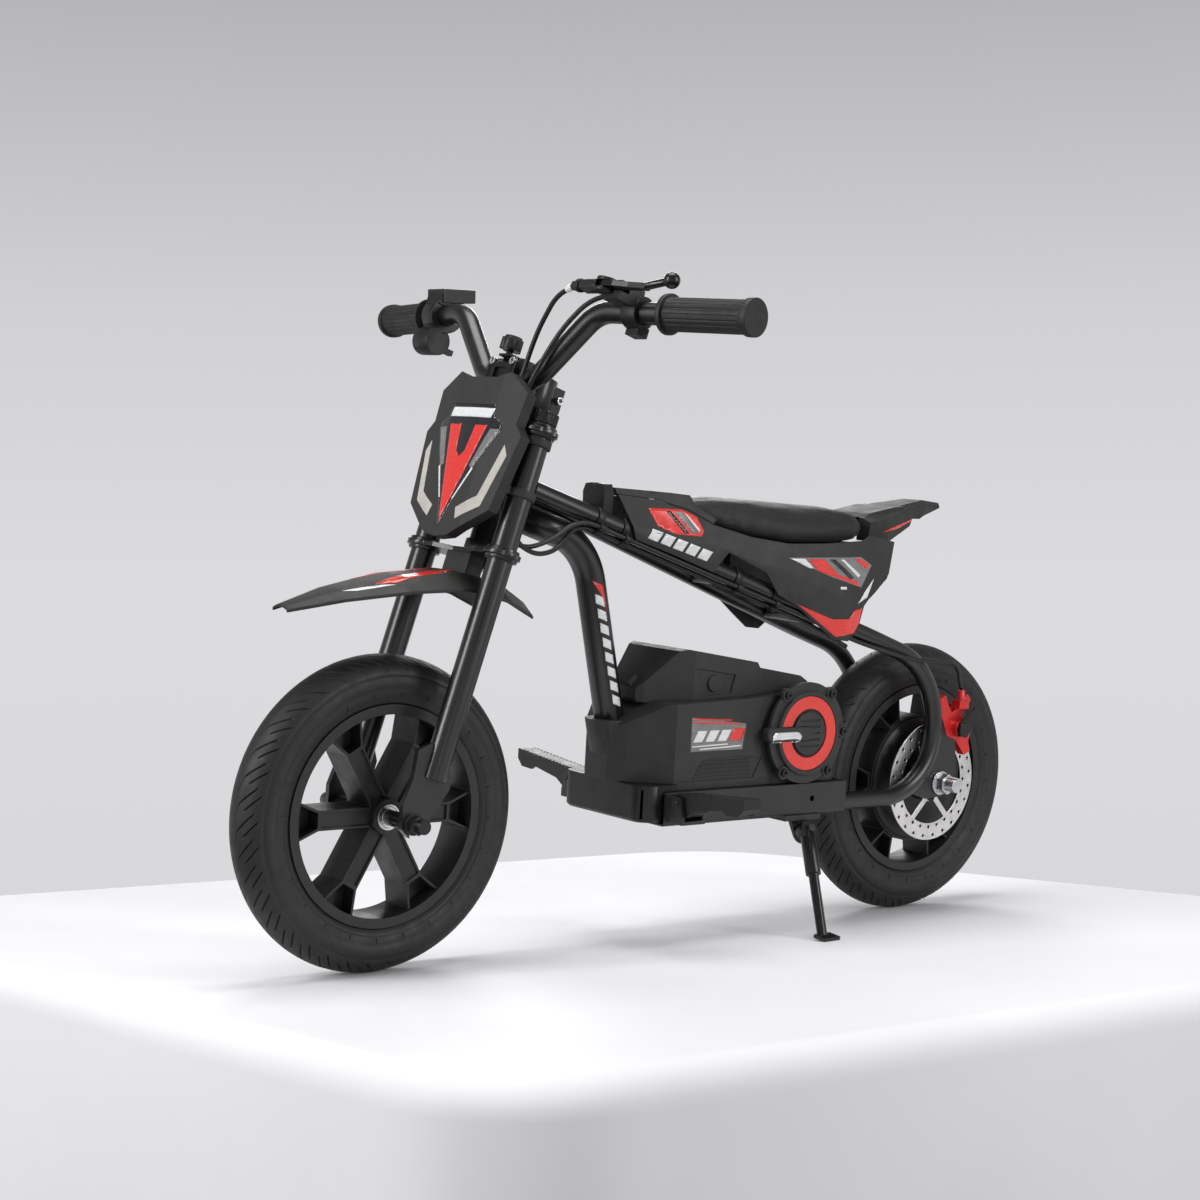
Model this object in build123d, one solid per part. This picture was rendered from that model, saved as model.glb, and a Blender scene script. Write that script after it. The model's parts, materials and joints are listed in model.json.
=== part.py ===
from build123d import *
import math
import os

# Children's ride-on electric mini dirt bike, standing on its kickstand.
# Every piece is modelled on the upright bike: +X forward, +Y rider's left, +Z up,
# ground at z = 0, origin midway between the axles. export() leans it onto the stand.

# ---- driving dimensions, mm ----
LEAN_DEG = 5.0
FRAME_SHIFT_Y = -57.542
FRAME_SHIFT_Z = 0.102

AXLE_X = 376.0
AXLE_Z = 158.5
TYRE_R = 158.5
TYRE_HALF_W = 28.5
RIM_LIP_R = 111.0
RIM_INNER_R = 101.0
RIM_HALF_W = 24.0
SPOKES = 6

RAKE_DEG = 17.5
HEAD_X = 256.7
HEAD_Z = 411.3
LEG_U = 29.0
LEG_V = 66.0
LEG_R = 13.0
LEG_BOTTOM_S = -230.0
CROWN_T = 5.0
CROWN_GAP = 128.0
LEG_TOP_S = CROWN_GAP + 8.0
HEAD_TUBE_R = 21.0
HEAD_BORE_R = 14.0
STEERER_R = 12.5
STEERER_TOP_S = 192.0

BAR_R = 11.1
BAR_U = 34.0
BAR_S = 180.0
BOLT_S = 14.4
BOLT_V = 16.5
GRIP_LEN = 104.0
GRIP_R = 16.5

DOWN_TUBE_R = 15.9
DOWN_TUBE_END = (57.9, 0, 145.4)
RAIL_R = 10.2
RAIL_Y = 62.0
TUBE_WALL = 2.0

CHASSIS_HALF_W = 75.0
CHASSIS_FRONT_X = 60.0
CHASSIS_REAR_X = -207.0
CHASSIS_Z0 = 136.0
CHASSIS_Z1 = 172.0
CHASSIS_WALL = 2.5

SHELL_HALF_W = 67.0
SHELL_WALL = 3.0
COVER_X = -137.0
COVER_Z = 229.0
COVER_R = 56.0
COVER_EARS = (52.0, 0.0, 128.0, 180.0, 232.0, 308.0)
COVER_FACE_Y = SHELL_HALF_W + 6.3

DISC_R = 70.0
DISC_Y = 48.0
DISC_T = 2.0
MOTOR_R = 72.0
MOTOR_HALF_W = 24.0
REAR_AXLE_R = 7.98
MOTOR_BORE_R = 8.04
CALIPER_X = -398.0
CALIPER_Z = 222.0

PEG_X = 44.0
PEG_PIN_Y = 92.0
PEG_PIN_Z = 164.0
PEG_END_Y = 190.0
STAND_X = -145.0
STAND_Y = 80.0
STAND_Z = 120.0
STAND_FOOT = (-119.0, 139.5, 15.7)

PANEL_T = 3.0
CABLE_R = 2.5
ARC_SHARE = 0.45
BRAKE_RUN = (11.0, 10.0)
SWITCH_RUN = (3.0, 14.4)
CLIP_X = (132.0, 100.0, -48.0, -100.0)
LEVER_PIVOT = (66.0, 150.0, 266.0)


# ---- helpers ----
def steering(shape):
    """Moves a piece from steering coordinates (u forward, v left, s up the steering axis)."""
    return Pos(HEAD_X, 0, HEAD_Z) * Rot(0, -RAKE_DEG, 0) * shape


def steer_point(u, v, s):
    """Bike coordinates of a point given in steering coordinates."""
    rake = math.radians(RAKE_DEG)
    x = HEAD_X + u * math.cos(rake) - s * math.sin(rake)
    z = HEAD_Z + u * math.sin(rake) + s * math.cos(rake)
    return (x, v, z)


def box(x0, x1, y0, y1, z0, z1):
    """Box between two opposite corners."""
    size = Box(x1 - x0, y1 - y0, z1 - z0)
    return Pos((x0 + x1) / 2, (y0 + y1) / 2, (z0 + z1) / 2) * size


def rod(p, q, r):
    """Round bar of radius r from point p to point q."""
    a = Vector(*p)
    b = Vector(*q)
    face = Plane(origin=a, z_dir=b - a) * Circle(r)
    return extrude(face, amount=(b - a).length)


def side_plate(outline, y0, y1):
    """Plate with an outline given as (x, z), standing between y0 and y1."""
    face = Plane.XZ * make_face(Polyline(*outline, close=True))
    return Pos(0, y1, 0) * extrude(face, amount=y1 - y0)


def top_plate(outline, z0, z1):
    """Plate with an outline given as (x, y), lying between z0 and z1."""
    face = make_face(Polyline(*outline, close=True))
    return Pos(0, 0, z0) * extrude(face, amount=z1 - z0)


def front_plate(outline, x0, x1):
    """Plate with an outline given as (y, z), between x0 and x1."""
    face = Plane.YZ * make_face(Polyline(*outline, close=True))
    return Pos(x0, 0, 0) * extrude(face, amount=x1 - x0)


def swept(points, radii, r):
    """Round bar along straight runs joined by tangent arcs."""
    path = FilletPolyline(*points, radius=radii)
    return sweep(Plane(origin=path @ 0, z_dir=path % 0) * Circle(r), path=path)


def swept_tube(points, radii, r, wall):
    """Round tube along straight runs joined by tangent arcs."""
    return swept(points, radii, r) - swept(points, radii, r - wall)


def arc_radii(points):
    """Arc radius at each corner of a route: as large as its two runs allow."""
    radii = []
    for i in range(1, len(points) - 1):
        before = Vector(*points[i]) - Vector(*points[i - 1])
        after = Vector(*points[i + 1]) - Vector(*points[i])
        turn = math.radians(before.get_angle(after))
        radii.append(ARC_SHARE * min(before.length, after.length) / math.tan(turn / 2))
    return radii


def cable(name, points):
    """Round cable along a route; prints its length, its arc radii and its volume check."""
    radii = arc_radii(points)
    path = FilletPolyline(*points, radius=radii)
    body = sweep(Plane(origin=path @ 0, z_dir=path % 0) * Circle(CABLE_R), path=path)
    ratio = body.volume / (math.pi * CABLE_R ** 2 * path.length)
    print(name, "length", round(path.length), "radii", [round(r) for r in radii], "volume", round(ratio, 4))
    return body


def mirrored(shape):
    """The same piece on the rider's right."""
    return mirror(shape, about=Plane.XZ)


def turned(profile, x):
    """Solid of revolution about the wheel axle at x, from (radius, y) points."""
    pts = [(p[0], p[1]) for p in profile]
    face = make_face(Polyline(*pts, close=True))
    # The profile is drawn with its radius along X and its width along Y, then spun about Y.
    return Pos(x, 0, AXLE_Z) * revolve(face, axis=Axis.Y)


def axle_rod(x, y0, y1, r):
    """Round bar parallel to the axles, centred on the axle at x."""
    return rod((x, y0, AXLE_Z), (x, y1, AXLE_Z), r)


def hex_bar(p, q, flat):
    """Hexagonal bar from p to q, with the width across flats given."""
    a = Vector(*p)
    b = Vector(*q)
    face = Plane(origin=a, z_dir=b - a) * RegularPolygon(flat / math.sqrt(3), 6)
    return extrude(face, amount=(b - a).length)


# ---- wheels ----
def tyre(x):
    """Pneumatic tyre: round crown, side walls and two beads, hollow inside."""
    bead_r = RIM_LIP_R - 3
    heel_r = RIM_LIP_R + 0.4
    heel_y = 22.4
    outer = [(heel_r, heel_y), (121, 27.5), (133, TYRE_HALF_W), (144, 25.5), (151, 20), (156, 11.5),
             (TYRE_R, 0)]
    inner = [(heel_r, 17.5), (121, 23), (133, 24), (142, 21), (148, 15.5), (151.5, 8.5), (153, 0)]
    crown = outer + [(r, -y) for r, y in reversed(outer[:-1])]
    hollow = inner + [(r, -y) for r, y in reversed(inner[:-1])]
    body = Spline(*crown, tangents=[(0.6, 1), (-0.6, 1)])
    cave = Spline(*hollow, tangents=[(0.6, 1), (-0.6, 1)])
    left = Polyline(crown[0], (bead_r, heel_y - 0.2), (bead_r, 16.5), hollow[0])
    right = Polyline(crown[-1], (bead_r, -heel_y + 0.2), (bead_r, -16.5), hollow[-1])
    face = make_face([body, right, cave, left])
    return Pos(x, 0, AXLE_Z) * revolve(face, axis=Axis.Y)


def rim_band(x, valve_bore):
    """Moulded rim band with bead seats, a drop centre and two lips."""
    half = [(RIM_LIP_R, RIM_HALF_W), (RIM_LIP_R, 22.6), (107.6, 22.4), (107.6, 14), (104.5, 10)]
    outer = half + [(r, -y) for r, y in reversed(half)]
    inner = [(RIM_INNER_R, -RIM_HALF_W), (RIM_INNER_R, RIM_HALF_W)]
    band = turned(outer + inner, x)
    hole = rod((x, 0, AXLE_Z + 95), (x, 0, AXLE_Z + 125), valve_bore)
    return band - hole


def spoke(x, angle, hub_r):
    """Box spoke: two walls, a node cross wall, face panels and flared ends at the rim."""
    node_r = 76.0
    rim_r = RIM_INNER_R + 1.5
    half = RIM_HALF_W - 4
    wall = 2.6
    inner_w = 10.0
    outer_w = 21.0
    box_face = make_face(Polyline((hub_r, -inner_w), (node_r, -inner_w), (rim_r, -outer_w),
                                  (rim_r, outer_w), (node_r, inner_w), (hub_r, inner_w), close=True))
    cave_face = make_face(Polyline((hub_r, -inner_w + wall), (node_r - wall, -inner_w + wall),
                                   (node_r - wall, inner_w - wall), (hub_r, inner_w - wall), close=True))
    flare_face = make_face(Polyline((node_r + wall / 2, -inner_w + wall), (rim_r, -outer_w + wall),
                                    (rim_r, outer_w - wall), (node_r + wall / 2, inner_w - wall),
                                    close=True))
    body = extrude(box_face, amount=half, both=True)
    recess = extrude(cave_face, amount=half)
    body -= Pos(0, 0, half - 2.5) * recess
    body -= Pos(0, 0, -2 * half + 2.5) * recess
    pocket = extrude(flare_face, amount=half)
    body -= Pos(0, 0, 1.5) * pocket
    body -= Pos(0, 0, -half - 1.5) * pocket
    upright = Rot(90, 0, 0) * body
    return Pos(x, 0, AXLE_Z) * Rot(0, angle, 0) * upright


def wheel_rim(x, hub_r, bore_r, hub_half):
    """Moulded wheel: band, hub boss and box spokes."""
    rim = rim_band(x, 3.0)
    rim += axle_rod(x, -hub_half, hub_half, hub_r + 1)
    for i in range(SPOKES):
        rim += spoke(x, i * 360 / SPOKES, hub_r)
    rim &= axle_rod(x, -60, 60, RIM_LIP_R)
    rim -= axle_rod(x, -hub_half - 1, hub_half + 1, bore_r)
    return rim


def front_rim():
    """Front wheel moulding, bored right through for its axle and counterbored for bearings."""
    rim = wheel_rim(AXLE_X, 17.0, 7.0, 27.0)
    rim -= axle_rod(AXLE_X, 19.0, 28.0, 13.0)
    rim -= axle_rod(AXLE_X, -28.0, -19.0, 13.0)
    return rim


def front_bearings():
    """Two sealed ball bearings pressed into the front hub."""
    ring = axle_rod(AXLE_X, 19.0, 27.0, 13.0) - axle_rod(AXLE_X, 18.0, 28.0, 5.05)
    groove = axle_rod(AXLE_X, 26.2, 27.0, 10.6) - axle_rod(AXLE_X, 26.2, 27.0, 7.4)
    ring -= groove
    return Compound([ring, mirrored(ring)])


def rear_rim():
    """Rear wheel moulding with a large opening for the hub motor."""
    return wheel_rim(-AXLE_X, MOTOR_R + 2.0, MOTOR_R, RIM_HALF_W - 1)


def hub_motor():
    """Hub motor drum with stepped side covers and a brake disc seat on the left."""
    half = [(MOTOR_R, MOTOR_HALF_W), (64, MOTOR_HALF_W + 3), (40, MOTOR_HALF_W + 5), (24, MOTOR_HALF_W + 9)]
    left = half + [(24, DISC_Y - DISC_T / 2), (MOTOR_BORE_R, DISC_Y - DISC_T / 2)]
    right = [(MOTOR_BORE_R, -MOTOR_HALF_W - 14), (20, -MOTOR_HALF_W - 14), (24, -MOTOR_HALF_W - 9)]
    right += [(40, -MOTOR_HALF_W - 5), (64, -MOTOR_HALF_W - 3), (MOTOR_R, -MOTOR_HALF_W)]
    return turned(left + right, -AXLE_X)


def brake_disc():
    """Perforated brake disc with a three-armed spider."""
    blank = Circle(DISC_R) - Circle(50.0)
    hub = Circle(24.0) - Circle(15.0)
    arms = Sketch() + hub + blank
    for i in range(6):
        lean = 14 if i % 2 else -14
        arm = Rot(0, 0, i * 60) * Pos(36, 0) * Rot(0, 0, lean) * Rectangle(34, 7)
        arms += arm
    for ring, count, offset in ((54.5, 24, 0.0), (65.0, 24, 7.5)):
        for i in range(count):
            angle = math.radians(i * 360 / count + offset)
            arms -= Pos(ring * math.cos(angle), ring * math.sin(angle)) * Circle(1.9)
    for i in range(6):
        angle = math.radians(i * 60 + 30)
        arms -= Pos(19.5 * math.cos(angle), 19.5 * math.sin(angle)) * Circle(2.6)
    plate = extrude(arms, amount=DISC_T / 2, both=True)
    return Pos(-AXLE_X, DISC_Y, AXLE_Z) * Rot(90, 0, 0) * plate


def disc_bolts():
    """Six button-head bolts that hold the disc on the motor."""
    bolts = []
    for i in range(6):
        angle = math.radians(i * 60 + 30)
        x = -AXLE_X + 19.5 * math.cos(angle)
        z = AXLE_Z - 19.5 * math.sin(angle)
        head = rod((x, DISC_Y + DISC_T / 2, z), (x, DISC_Y + 3.6, z), 4.4)
        shank = rod((x, DISC_Y - DISC_T / 2, z), (x, DISC_Y + DISC_T / 2, z), 2.5)
        socket = hex_bar((x, DISC_Y + 1.8, z), (x, DISC_Y + 4.0, z), 3.0)
        bolts.append(head + shank - socket)
    return Compound(bolts)


# ---- steering assembly ----
def steerer():
    """Steerer tube through both crowns, with a knurled nut at its lower end."""
    body = Cylinder(STEERER_R, STEERER_TOP_S + 12, align=(Align.CENTER, Align.CENTER, Align.MIN))
    body = Pos(0, 0, -12) * body
    bore = Cylinder(STEERER_R - 3, 160, align=(Align.CENTER, Align.CENTER, Align.MIN))
    body -= Pos(0, 0, STEERER_TOP_S - 150) * bore
    nut = Cylinder(16.5, 9.0)
    for i in range(16):
        notch = Rot(0, 0, i * 360 / 16) * Pos(16.5, 0, 0) * Box(2.0, 2.4, 10)
        nut -= notch
    nut = Pos(0, 0, -CROWN_T / 2 - 4.5) * nut
    top_nut = Pos(0, 0, CROWN_GAP + CROWN_T / 2 + 3.5) * Cylinder(17.0, 7.0)
    return steering(body + nut + top_nut)


def crown_outline():
    """Crown plate seen along the steering axis: a boss, two leg eyes and webs between."""
    web = make_face(Polyline((-15, -22), (8, -62), (LEG_U - 6, -LEG_V - 19), (LEG_U + 12, -LEG_V - 16),
                             (LEG_U + 13, -36), (LEG_U + 4, -12), (LEG_U + 4, 12), (LEG_U + 13, 36),
                             (LEG_U + 12, LEG_V + 16), (LEG_U - 6, LEG_V + 19), (8, 62), (-15, 22),
                             close=True))
    face = Sketch() + web + Circle(24.0)
    face += Pos(LEG_U, LEG_V) * Circle(19.0)
    face += Pos(LEG_U, -LEG_V) * Circle(19.0)
    return face


def crown(s):
    """Fork crown plate at height s along the steering axis, with short leg sleeves."""
    plate = extrude(crown_outline(), amount=CROWN_T / 2, both=True)
    for v in (LEG_V, -LEG_V):
        plate += Pos(LEG_U, v, 0) * Cylinder(16.5, 12.0)
    for v in (LEG_V, -LEG_V):
        plate -= Pos(LEG_U, v, 0) * Cylinder(LEG_R, 40.0)
    plate -= Cylinder(STEERER_R, 40.0)
    for v in (30.0, -30.0):
        plate -= Pos(18.0, v, 0) * Cylinder(5.0, 40.0)
    return steering(Pos(0, 0, s) * plate)


def fork_leg(side):
    """Tubular fork leg, closed at the foot by the welded dropout plate."""
    length = LEG_TOP_S - LEG_BOTTOM_S
    leg = Cylinder(LEG_R, length) - Pos(0, 0, 8) * Cylinder(LEG_R - TUBE_WALL, length)
    leg = Pos(LEG_U, side * LEG_V, (LEG_TOP_S + LEG_BOTTOM_S) / 2) * leg
    leg = steering(leg)
    outline = [(361, 236), (343, 236), (333, 199), (336, 189), (359, 160), (366, 148), (380, 145),
               (390, 154), (389, 178), (378, 205), (374, 231)]
    plate = side_plate(outline, side * LEG_V - 3, side * LEG_V + 3)
    plate -= axle_rod(AXLE_X, -90, 90, 5.2)
    slot = side_plate([(AXLE_X - 5.2, AXLE_Z), (AXLE_X + 5.2, AXLE_Z), (AXLE_X + 2, 130),
                       (AXLE_X - 8.4, 130)], side * LEG_V - 5, side * LEG_V + 5)
    plate -= slot
    return leg + plate


def fork_caps():
    """Knurled caps on the two fork legs."""
    caps = []
    for v in (LEG_V, -LEG_V):
        cap = Pos(0, 0, 6) * Cylinder(14.5, 12.0)
        for i in range(18):
            cap -= Rot(0, 0, i * 20) * Pos(14.5, 0, 7) * Box(1.6, 2.0, 8)
        cap += Pos(0, 0, -4) * Cylinder(LEG_R - TUBE_WALL, 8.0)
        cap -= Pos(0, 0, 11) * extrude(RegularPolygon(5.0, 6), amount=6)
        caps.append(steering(Pos(LEG_U, v, LEG_TOP_S) * cap))
    return Compound(caps)


def front_axle():
    """Front axle bolt between the dropouts, with spacer sleeves."""
    bolt = axle_rod(AXLE_X, -88, 88, 5.0)
    for side in (1, -1):
        bolt += axle_rod(AXLE_X, side * 27.4, side * (LEG_V - 3), 8.0)
    return bolt


def axle_nut_set(x, inner_y, side, reach):
    """Washer, hexagon nut and domed end on one side of an axle."""
    washer = axle_rod(x, side * inner_y, side * (inner_y + 2), 11.0)
    nut = hex_bar((x, side * (inner_y + 2), AXLE_Z), (x, side * (inner_y + 11), AXLE_Z), 17.0)
    dome = axle_rod(x, side * (inner_y + 11), side * (inner_y + reach), 7.2)
    return washer + nut + dome


def front_nuts():
    """Acorn nuts with washers at both ends of the front axle."""
    sets = []
    for side in (1, -1):
        item = axle_nut_set(AXLE_X, LEG_V + 3, side, 20.0)
        item -= axle_rod(AXLE_X, side * (LEG_V + 2), side * 88.0, 5.0)
        sets.append(item)
    return Compound(sets)


def stem():
    """Stem: steerer clamp with split ears, forward arm and rear half of the bar clamp."""
    body = Pos(0, 0, BAR_S - 2) * Cylinder(19.0, 34.0)
    arm = Pos(15, 0, BAR_S) * Box(30, 30, 26)
    clamp = Pos(BAR_U - 6, 0, BAR_S) * Box(12, 46, 40)
    ears = Pos(-19, 0, BAR_S - 2) * Box(16, 24, 26)
    body = body + arm + clamp + ears
    body -= Pos(0, 0, BAR_S) * Cylinder(STEERER_R + 0.02, 60.0)
    body -= Pos(BAR_U, 0, BAR_S) * Rot(90, 0, 0) * Cylinder(BAR_R, 60.0)
    body -= Pos(-20, 0, BAR_S) * Box(22, 2.0, 40)
    for s in (-BOLT_S, BOLT_S):
        for v in (BOLT_V, -BOLT_V):
            body -= Pos(BAR_U - 4, v, BAR_S + s) * Rot(0, 90, 0) * Cylinder(2.5, 20)
    body -= Pos(-21, 0, BAR_S - 2) * Rot(90, 0, 0) * Cylinder(2.5, 30)
    return steering(body)


def stem_faceplate():
    """Front half of the bar clamp."""
    plate = Pos(BAR_U + 8.5, 0, BAR_S) * Box(17, 46, 40)
    edge = plate.edges().filter_by(Axis.Y).sort_by(Axis.X)[-2:]
    plate = chamfer(edge, 7.0)
    plate -= Pos(BAR_U, 0, BAR_S) * Rot(90, 0, 0) * Cylinder(BAR_R, 60.0)
    plate -= Pos(BAR_U + 17, 0, BAR_S) * Box(6, 20, 16)
    for s in (-BOLT_S, BOLT_S):
        for v in (BOLT_V, -BOLT_V):
            plate -= Pos(BAR_U + 8, v, BAR_S + s) * Rot(0, 90, 0) * Cylinder(2.5, 30)
            plate -= Pos(BAR_U + 18.5, v, BAR_S + s) * Rot(0, 90, 0) * Cylinder(4.5, 10)
    return steering(plate)


def cap_screw(length, head_r):
    """Socket cap screw pointing down -X with its head above the origin."""
    shank = Pos(-length / 2, 0, 0) * Rot(0, 90, 0) * Cylinder(2.5, length)
    head = Pos(2.5, 0, 0) * Rot(0, 90, 0) * Cylinder(head_r, 5.0)
    socket = Pos(4.0, 0, 0) * Rot(0, 90, 0) * extrude(RegularPolygon(2.3, 6), amount=3, both=True)
    return shank + head - socket


def stem_bolts():
    """Four faceplate screws and the steerer pinch screw."""
    bolts = []
    for s in (-BOLT_S, BOLT_S):
        for v in (BOLT_V, -BOLT_V):
            bolts.append(steering(Pos(BAR_U + 13.5, v, BAR_S + s) * cap_screw(20, 4.2)))
    pinch = Pos(-21, 12.0, BAR_S - 2) * Rot(0, 0, 90) * cap_screw(24, 4.2)
    bolts.append(steering(pinch))
    return Compound(bolts)


def stem_knob():
    """Lobed knob that turns on a post above the faceplate."""
    knob = Cylinder(11.5, 12.0)
    knob += Pos(0, 0, 7) * Cylinder(9.0, 3.0)
    for i in range(5):
        knob -= Rot(0, 0, i * 72) * Pos(14.5, 0, 0) * Cylinder(5.0, 20)
    knob -= Pos(0, 0, -4) * Cylinder(3.55, 8.0)
    return steering(Pos(BAR_U + 12, 0, BAR_S + 33) * knob)


def knob_post():
    """Post and foot the knob turns on, clamped on top of the faceplate."""
    post = Pos(0, 0, -7) * Cylinder(3.5, 14.0)
    foot = Pos(-1, 0, -11.8) * Box(12, 20, 2.4)
    return steering(Pos(BAR_U + 12, 0, BAR_S + 33) * (post + foot))


def bar_points():
    """Corner points of the handlebar centre line, in steering coordinates, left half."""
    return [(BAR_U, 0, BAR_S), (BAR_U, 40, BAR_S), (36, 112, 252), (3, 297, 258)]


def bar_direction():
    """Unit vector along the left end of the bar and its inner corner point."""
    pts = bar_points()
    end = Vector(*pts[-1])
    corner = Vector(*pts[-2])
    return (end - corner).normalized(), corner


def handlebar():
    """Riser handlebar, bent from one tube."""
    left = bar_points()
    right = [(u, -v, s) for u, v, s in reversed(left[1:])]
    points = right + left[1:]
    radii = [45, 38, 38, 45]
    inner = swept(points, radii, BAR_R - TUBE_WALL)
    bar = swept(points, radii, BAR_R) - inner
    return steering(bar)


def bar_station(v):
    """Point on the left end run of the bar at distance v from the centre plane."""
    direction, corner = bar_direction()
    return corner + direction * ((v - corner.Y) / direction.Y)


def grip():
    """Rubber grip with an inner flange, lengthwise ribs and a closed end."""
    direction, corner = bar_direction()
    start = bar_station(297) - direction * (GRIP_LEN - 2)
    plane = Plane(origin=start, z_dir=direction, x_dir=(0, 0, 1))
    body = extrude(plane * Circle(GRIP_R), amount=GRIP_LEN)
    body += extrude(plane * Circle(20.0), amount=5)
    tail = Plane(origin=start + direction * (GRIP_LEN - 6), z_dir=direction)
    body += extrude(tail * Circle(18.5), amount=8)
    for i in range(20):
        angle = math.radians(i * 18)
        spot = plane * Pos(math.cos(angle) * (GRIP_R + 0.6), math.sin(angle) * (GRIP_R + 0.6), 8)
        body -= spot * Cylinder(1.2, GRIP_LEN - 18, align=(Align.CENTER, Align.CENTER, Align.MIN))
    body -= extrude(plane * Circle(BAR_R), amount=GRIP_LEN - 2)
    return steering(body)


def brake_perch():
    """Lever perch: bar clamp, arm, pivot fork and the cable barrel."""
    direction, corner = bar_direction()
    centre = bar_station(160)
    u, v, s = LEVER_PIVOT
    plane = Plane(origin=centre - direction * 9, z_dir=direction, x_dir=(0, 0, 1))
    ring = extrude(plane * Circle(16.0), amount=18)
    lug = Pos(centre.X - 6, centre.Y, centre.Z - 17) * Box(14, 18, 10)
    arm = box(centre.X + 6, u - 2, v - 4, v + 20, s - 12, s + 7)
    boss = Pos(u, v, s) * Cylinder(10.5, 14.0)
    nose = box(u - 8, u + 9, v - 32, v, s - 5.5, s + 5.5)
    nose = fillet(nose.edges().filter_by(Axis.Y), 4.0)
    nose = nose - Pos(u, v, s) * Cylinder(10.5, 30.0)
    barrel = rod((u + 3, v - 31, s), (u + 3, v - 45, s), 5.0)
    barrel += rod((u + 3, v - 33, s), (u + 3, v - 38, s), 6.8)
    perch = ring + lug + arm + boss
    perch -= extrude(Plane(origin=centre - direction * 30, z_dir=direction) * Circle(BAR_R), amount=60)
    perch -= box(u - 14, u + 30, v - 10.8, v + 30, s - 3.2, s + 3.2)
    perch += nose
    perch += barrel
    return steering(perch + Pos(u, v, s) * Cylinder(3.0, 14.0))


def brake_lever():
    """Two-finger brake lever: pivot eye, dipped blade and a raised ball end."""
    u, v, s = LEVER_PIVOT
    outline = Polyline((u - 7, v - 6), (u + 4, v - 8), (u + 9, v + 4), (u + 8, v + 18), (u + 3, v + 36),
                       (u - 1, v + 56), (u - 9, v + 56), (u - 6, v + 34), (u - 5, v + 14), (u - 9, v + 4),
                       close=True)
    blade = Pos(0, 0, s - 2.8) * extrude(make_face(outline), amount=5.6)
    ball = Pos(u - 12, v + 80, s + 9) * Sphere(8.0)
    tip = rod((u - 4, v + 50, s - 0.5), (u - 12, v + 80, s + 9), 3.9)
    lever = blade + tip + ball
    lever -= Pos(u, v, s) * Cylinder(3.05, 20)
    return steering(lever)


def display_housing():
    """Display pod on the right bar end: bar clamp, tilted screen body and throttle barrel."""
    direction, corner = bar_direction()
    centre = bar_station(170)
    plane = Plane(origin=centre - direction * 13, z_dir=direction, x_dir=(0, 0, 1))
    ring = extrude(plane * Circle(19.0), amount=26)
    hood = Pos(-4, 0, 24) * Rot(0, 20, 0) * Box(42, 30, 14)
    shelf = Pos(2, 0, 16) * Box(30, 26, 16)
    body = ring + Pos(centre.X, centre.Y, centre.Z) * (hood + shelf)
    skirt = Pos(centre.X + 3, centre.Y + 2, centre.Z - 30) * Rot(90, 0, 0) * Cylinder(15.0, 28)
    neck = Pos(centre.X + 2, centre.Y + 2, centre.Z - 18) * Box(18, 22, 16)
    body += skirt
    body += neck
    screen = Pos(-4, 0, 24) * Rot(0, 20, 0) * Pos(0, 0, 6.5) * Box(34, 24, 2)
    body -= Pos(centre.X, centre.Y, centre.Z) * screen
    body -= extrude(Plane(origin=centre - direction * 60, z_dir=direction) * Circle(BAR_R), amount=120)
    slot = Pos(centre.X + 3, centre.Y + 3, centre.Z - 30) * Rot(90, 0, 0) * Cylinder(11.0, 8)
    body -= slot
    window = Pos(centre.X - 16, centre.Y + 3, centre.Z - 34) * Box(26, 8, 20)
    body -= window
    body += Pos(centre.X + 3, centre.Y + 3, centre.Z - 30) * Rot(90, 0, 0) * Cylinder(3.0, 12)
    return mirrored(steering(body))


def throttle_pivot():
    """Centre of the thumb throttle pivot on the right side, in steering coordinates."""
    centre = bar_station(170)
    return (centre.X + 3, -(centre.Y + 3), centre.Z - 30)


def throttle_lever():
    """Thumb lever of the throttle, turning inside its barrel."""
    u, v, s = throttle_pivot()
    disc = Pos(u, v, s) * Rot(90, 0, 0) * Cylinder(10.5, 7.2)
    paddle = Pos(u - 17, v, s - 3) * Box(26, 7.2, 6)
    lever = disc + paddle
    lever -= Pos(u, v, s) * Rot(90, 0, 0) * Cylinder(3.05, 20)
    return steering(lever)


def display_screen():
    """Flat display window in the pod."""
    centre = bar_station(170)
    screen = Pos(-4, 0, 24) * Rot(0, 20, 0) * Pos(0, 0, 6.5) * Box(34, 24, 2)
    return mirrored(steering(Pos(centre.X, centre.Y, centre.Z) * screen))


def plate_outline(grow):
    """Number plate outline as (v, s), moved outward by grow at its sides."""
    half = [(22, 171), (42 + grow, 177 + grow), (72 + grow, 157), (69 + grow, 124), (80 + grow, 113),
            (67 + grow, 35), (20, 5 - grow)]
    left = [(v, s) for v, s in half]
    right = [(-v, s) for v, s in reversed(half)]
    return left + [(0, 2 - grow)] + right


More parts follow.
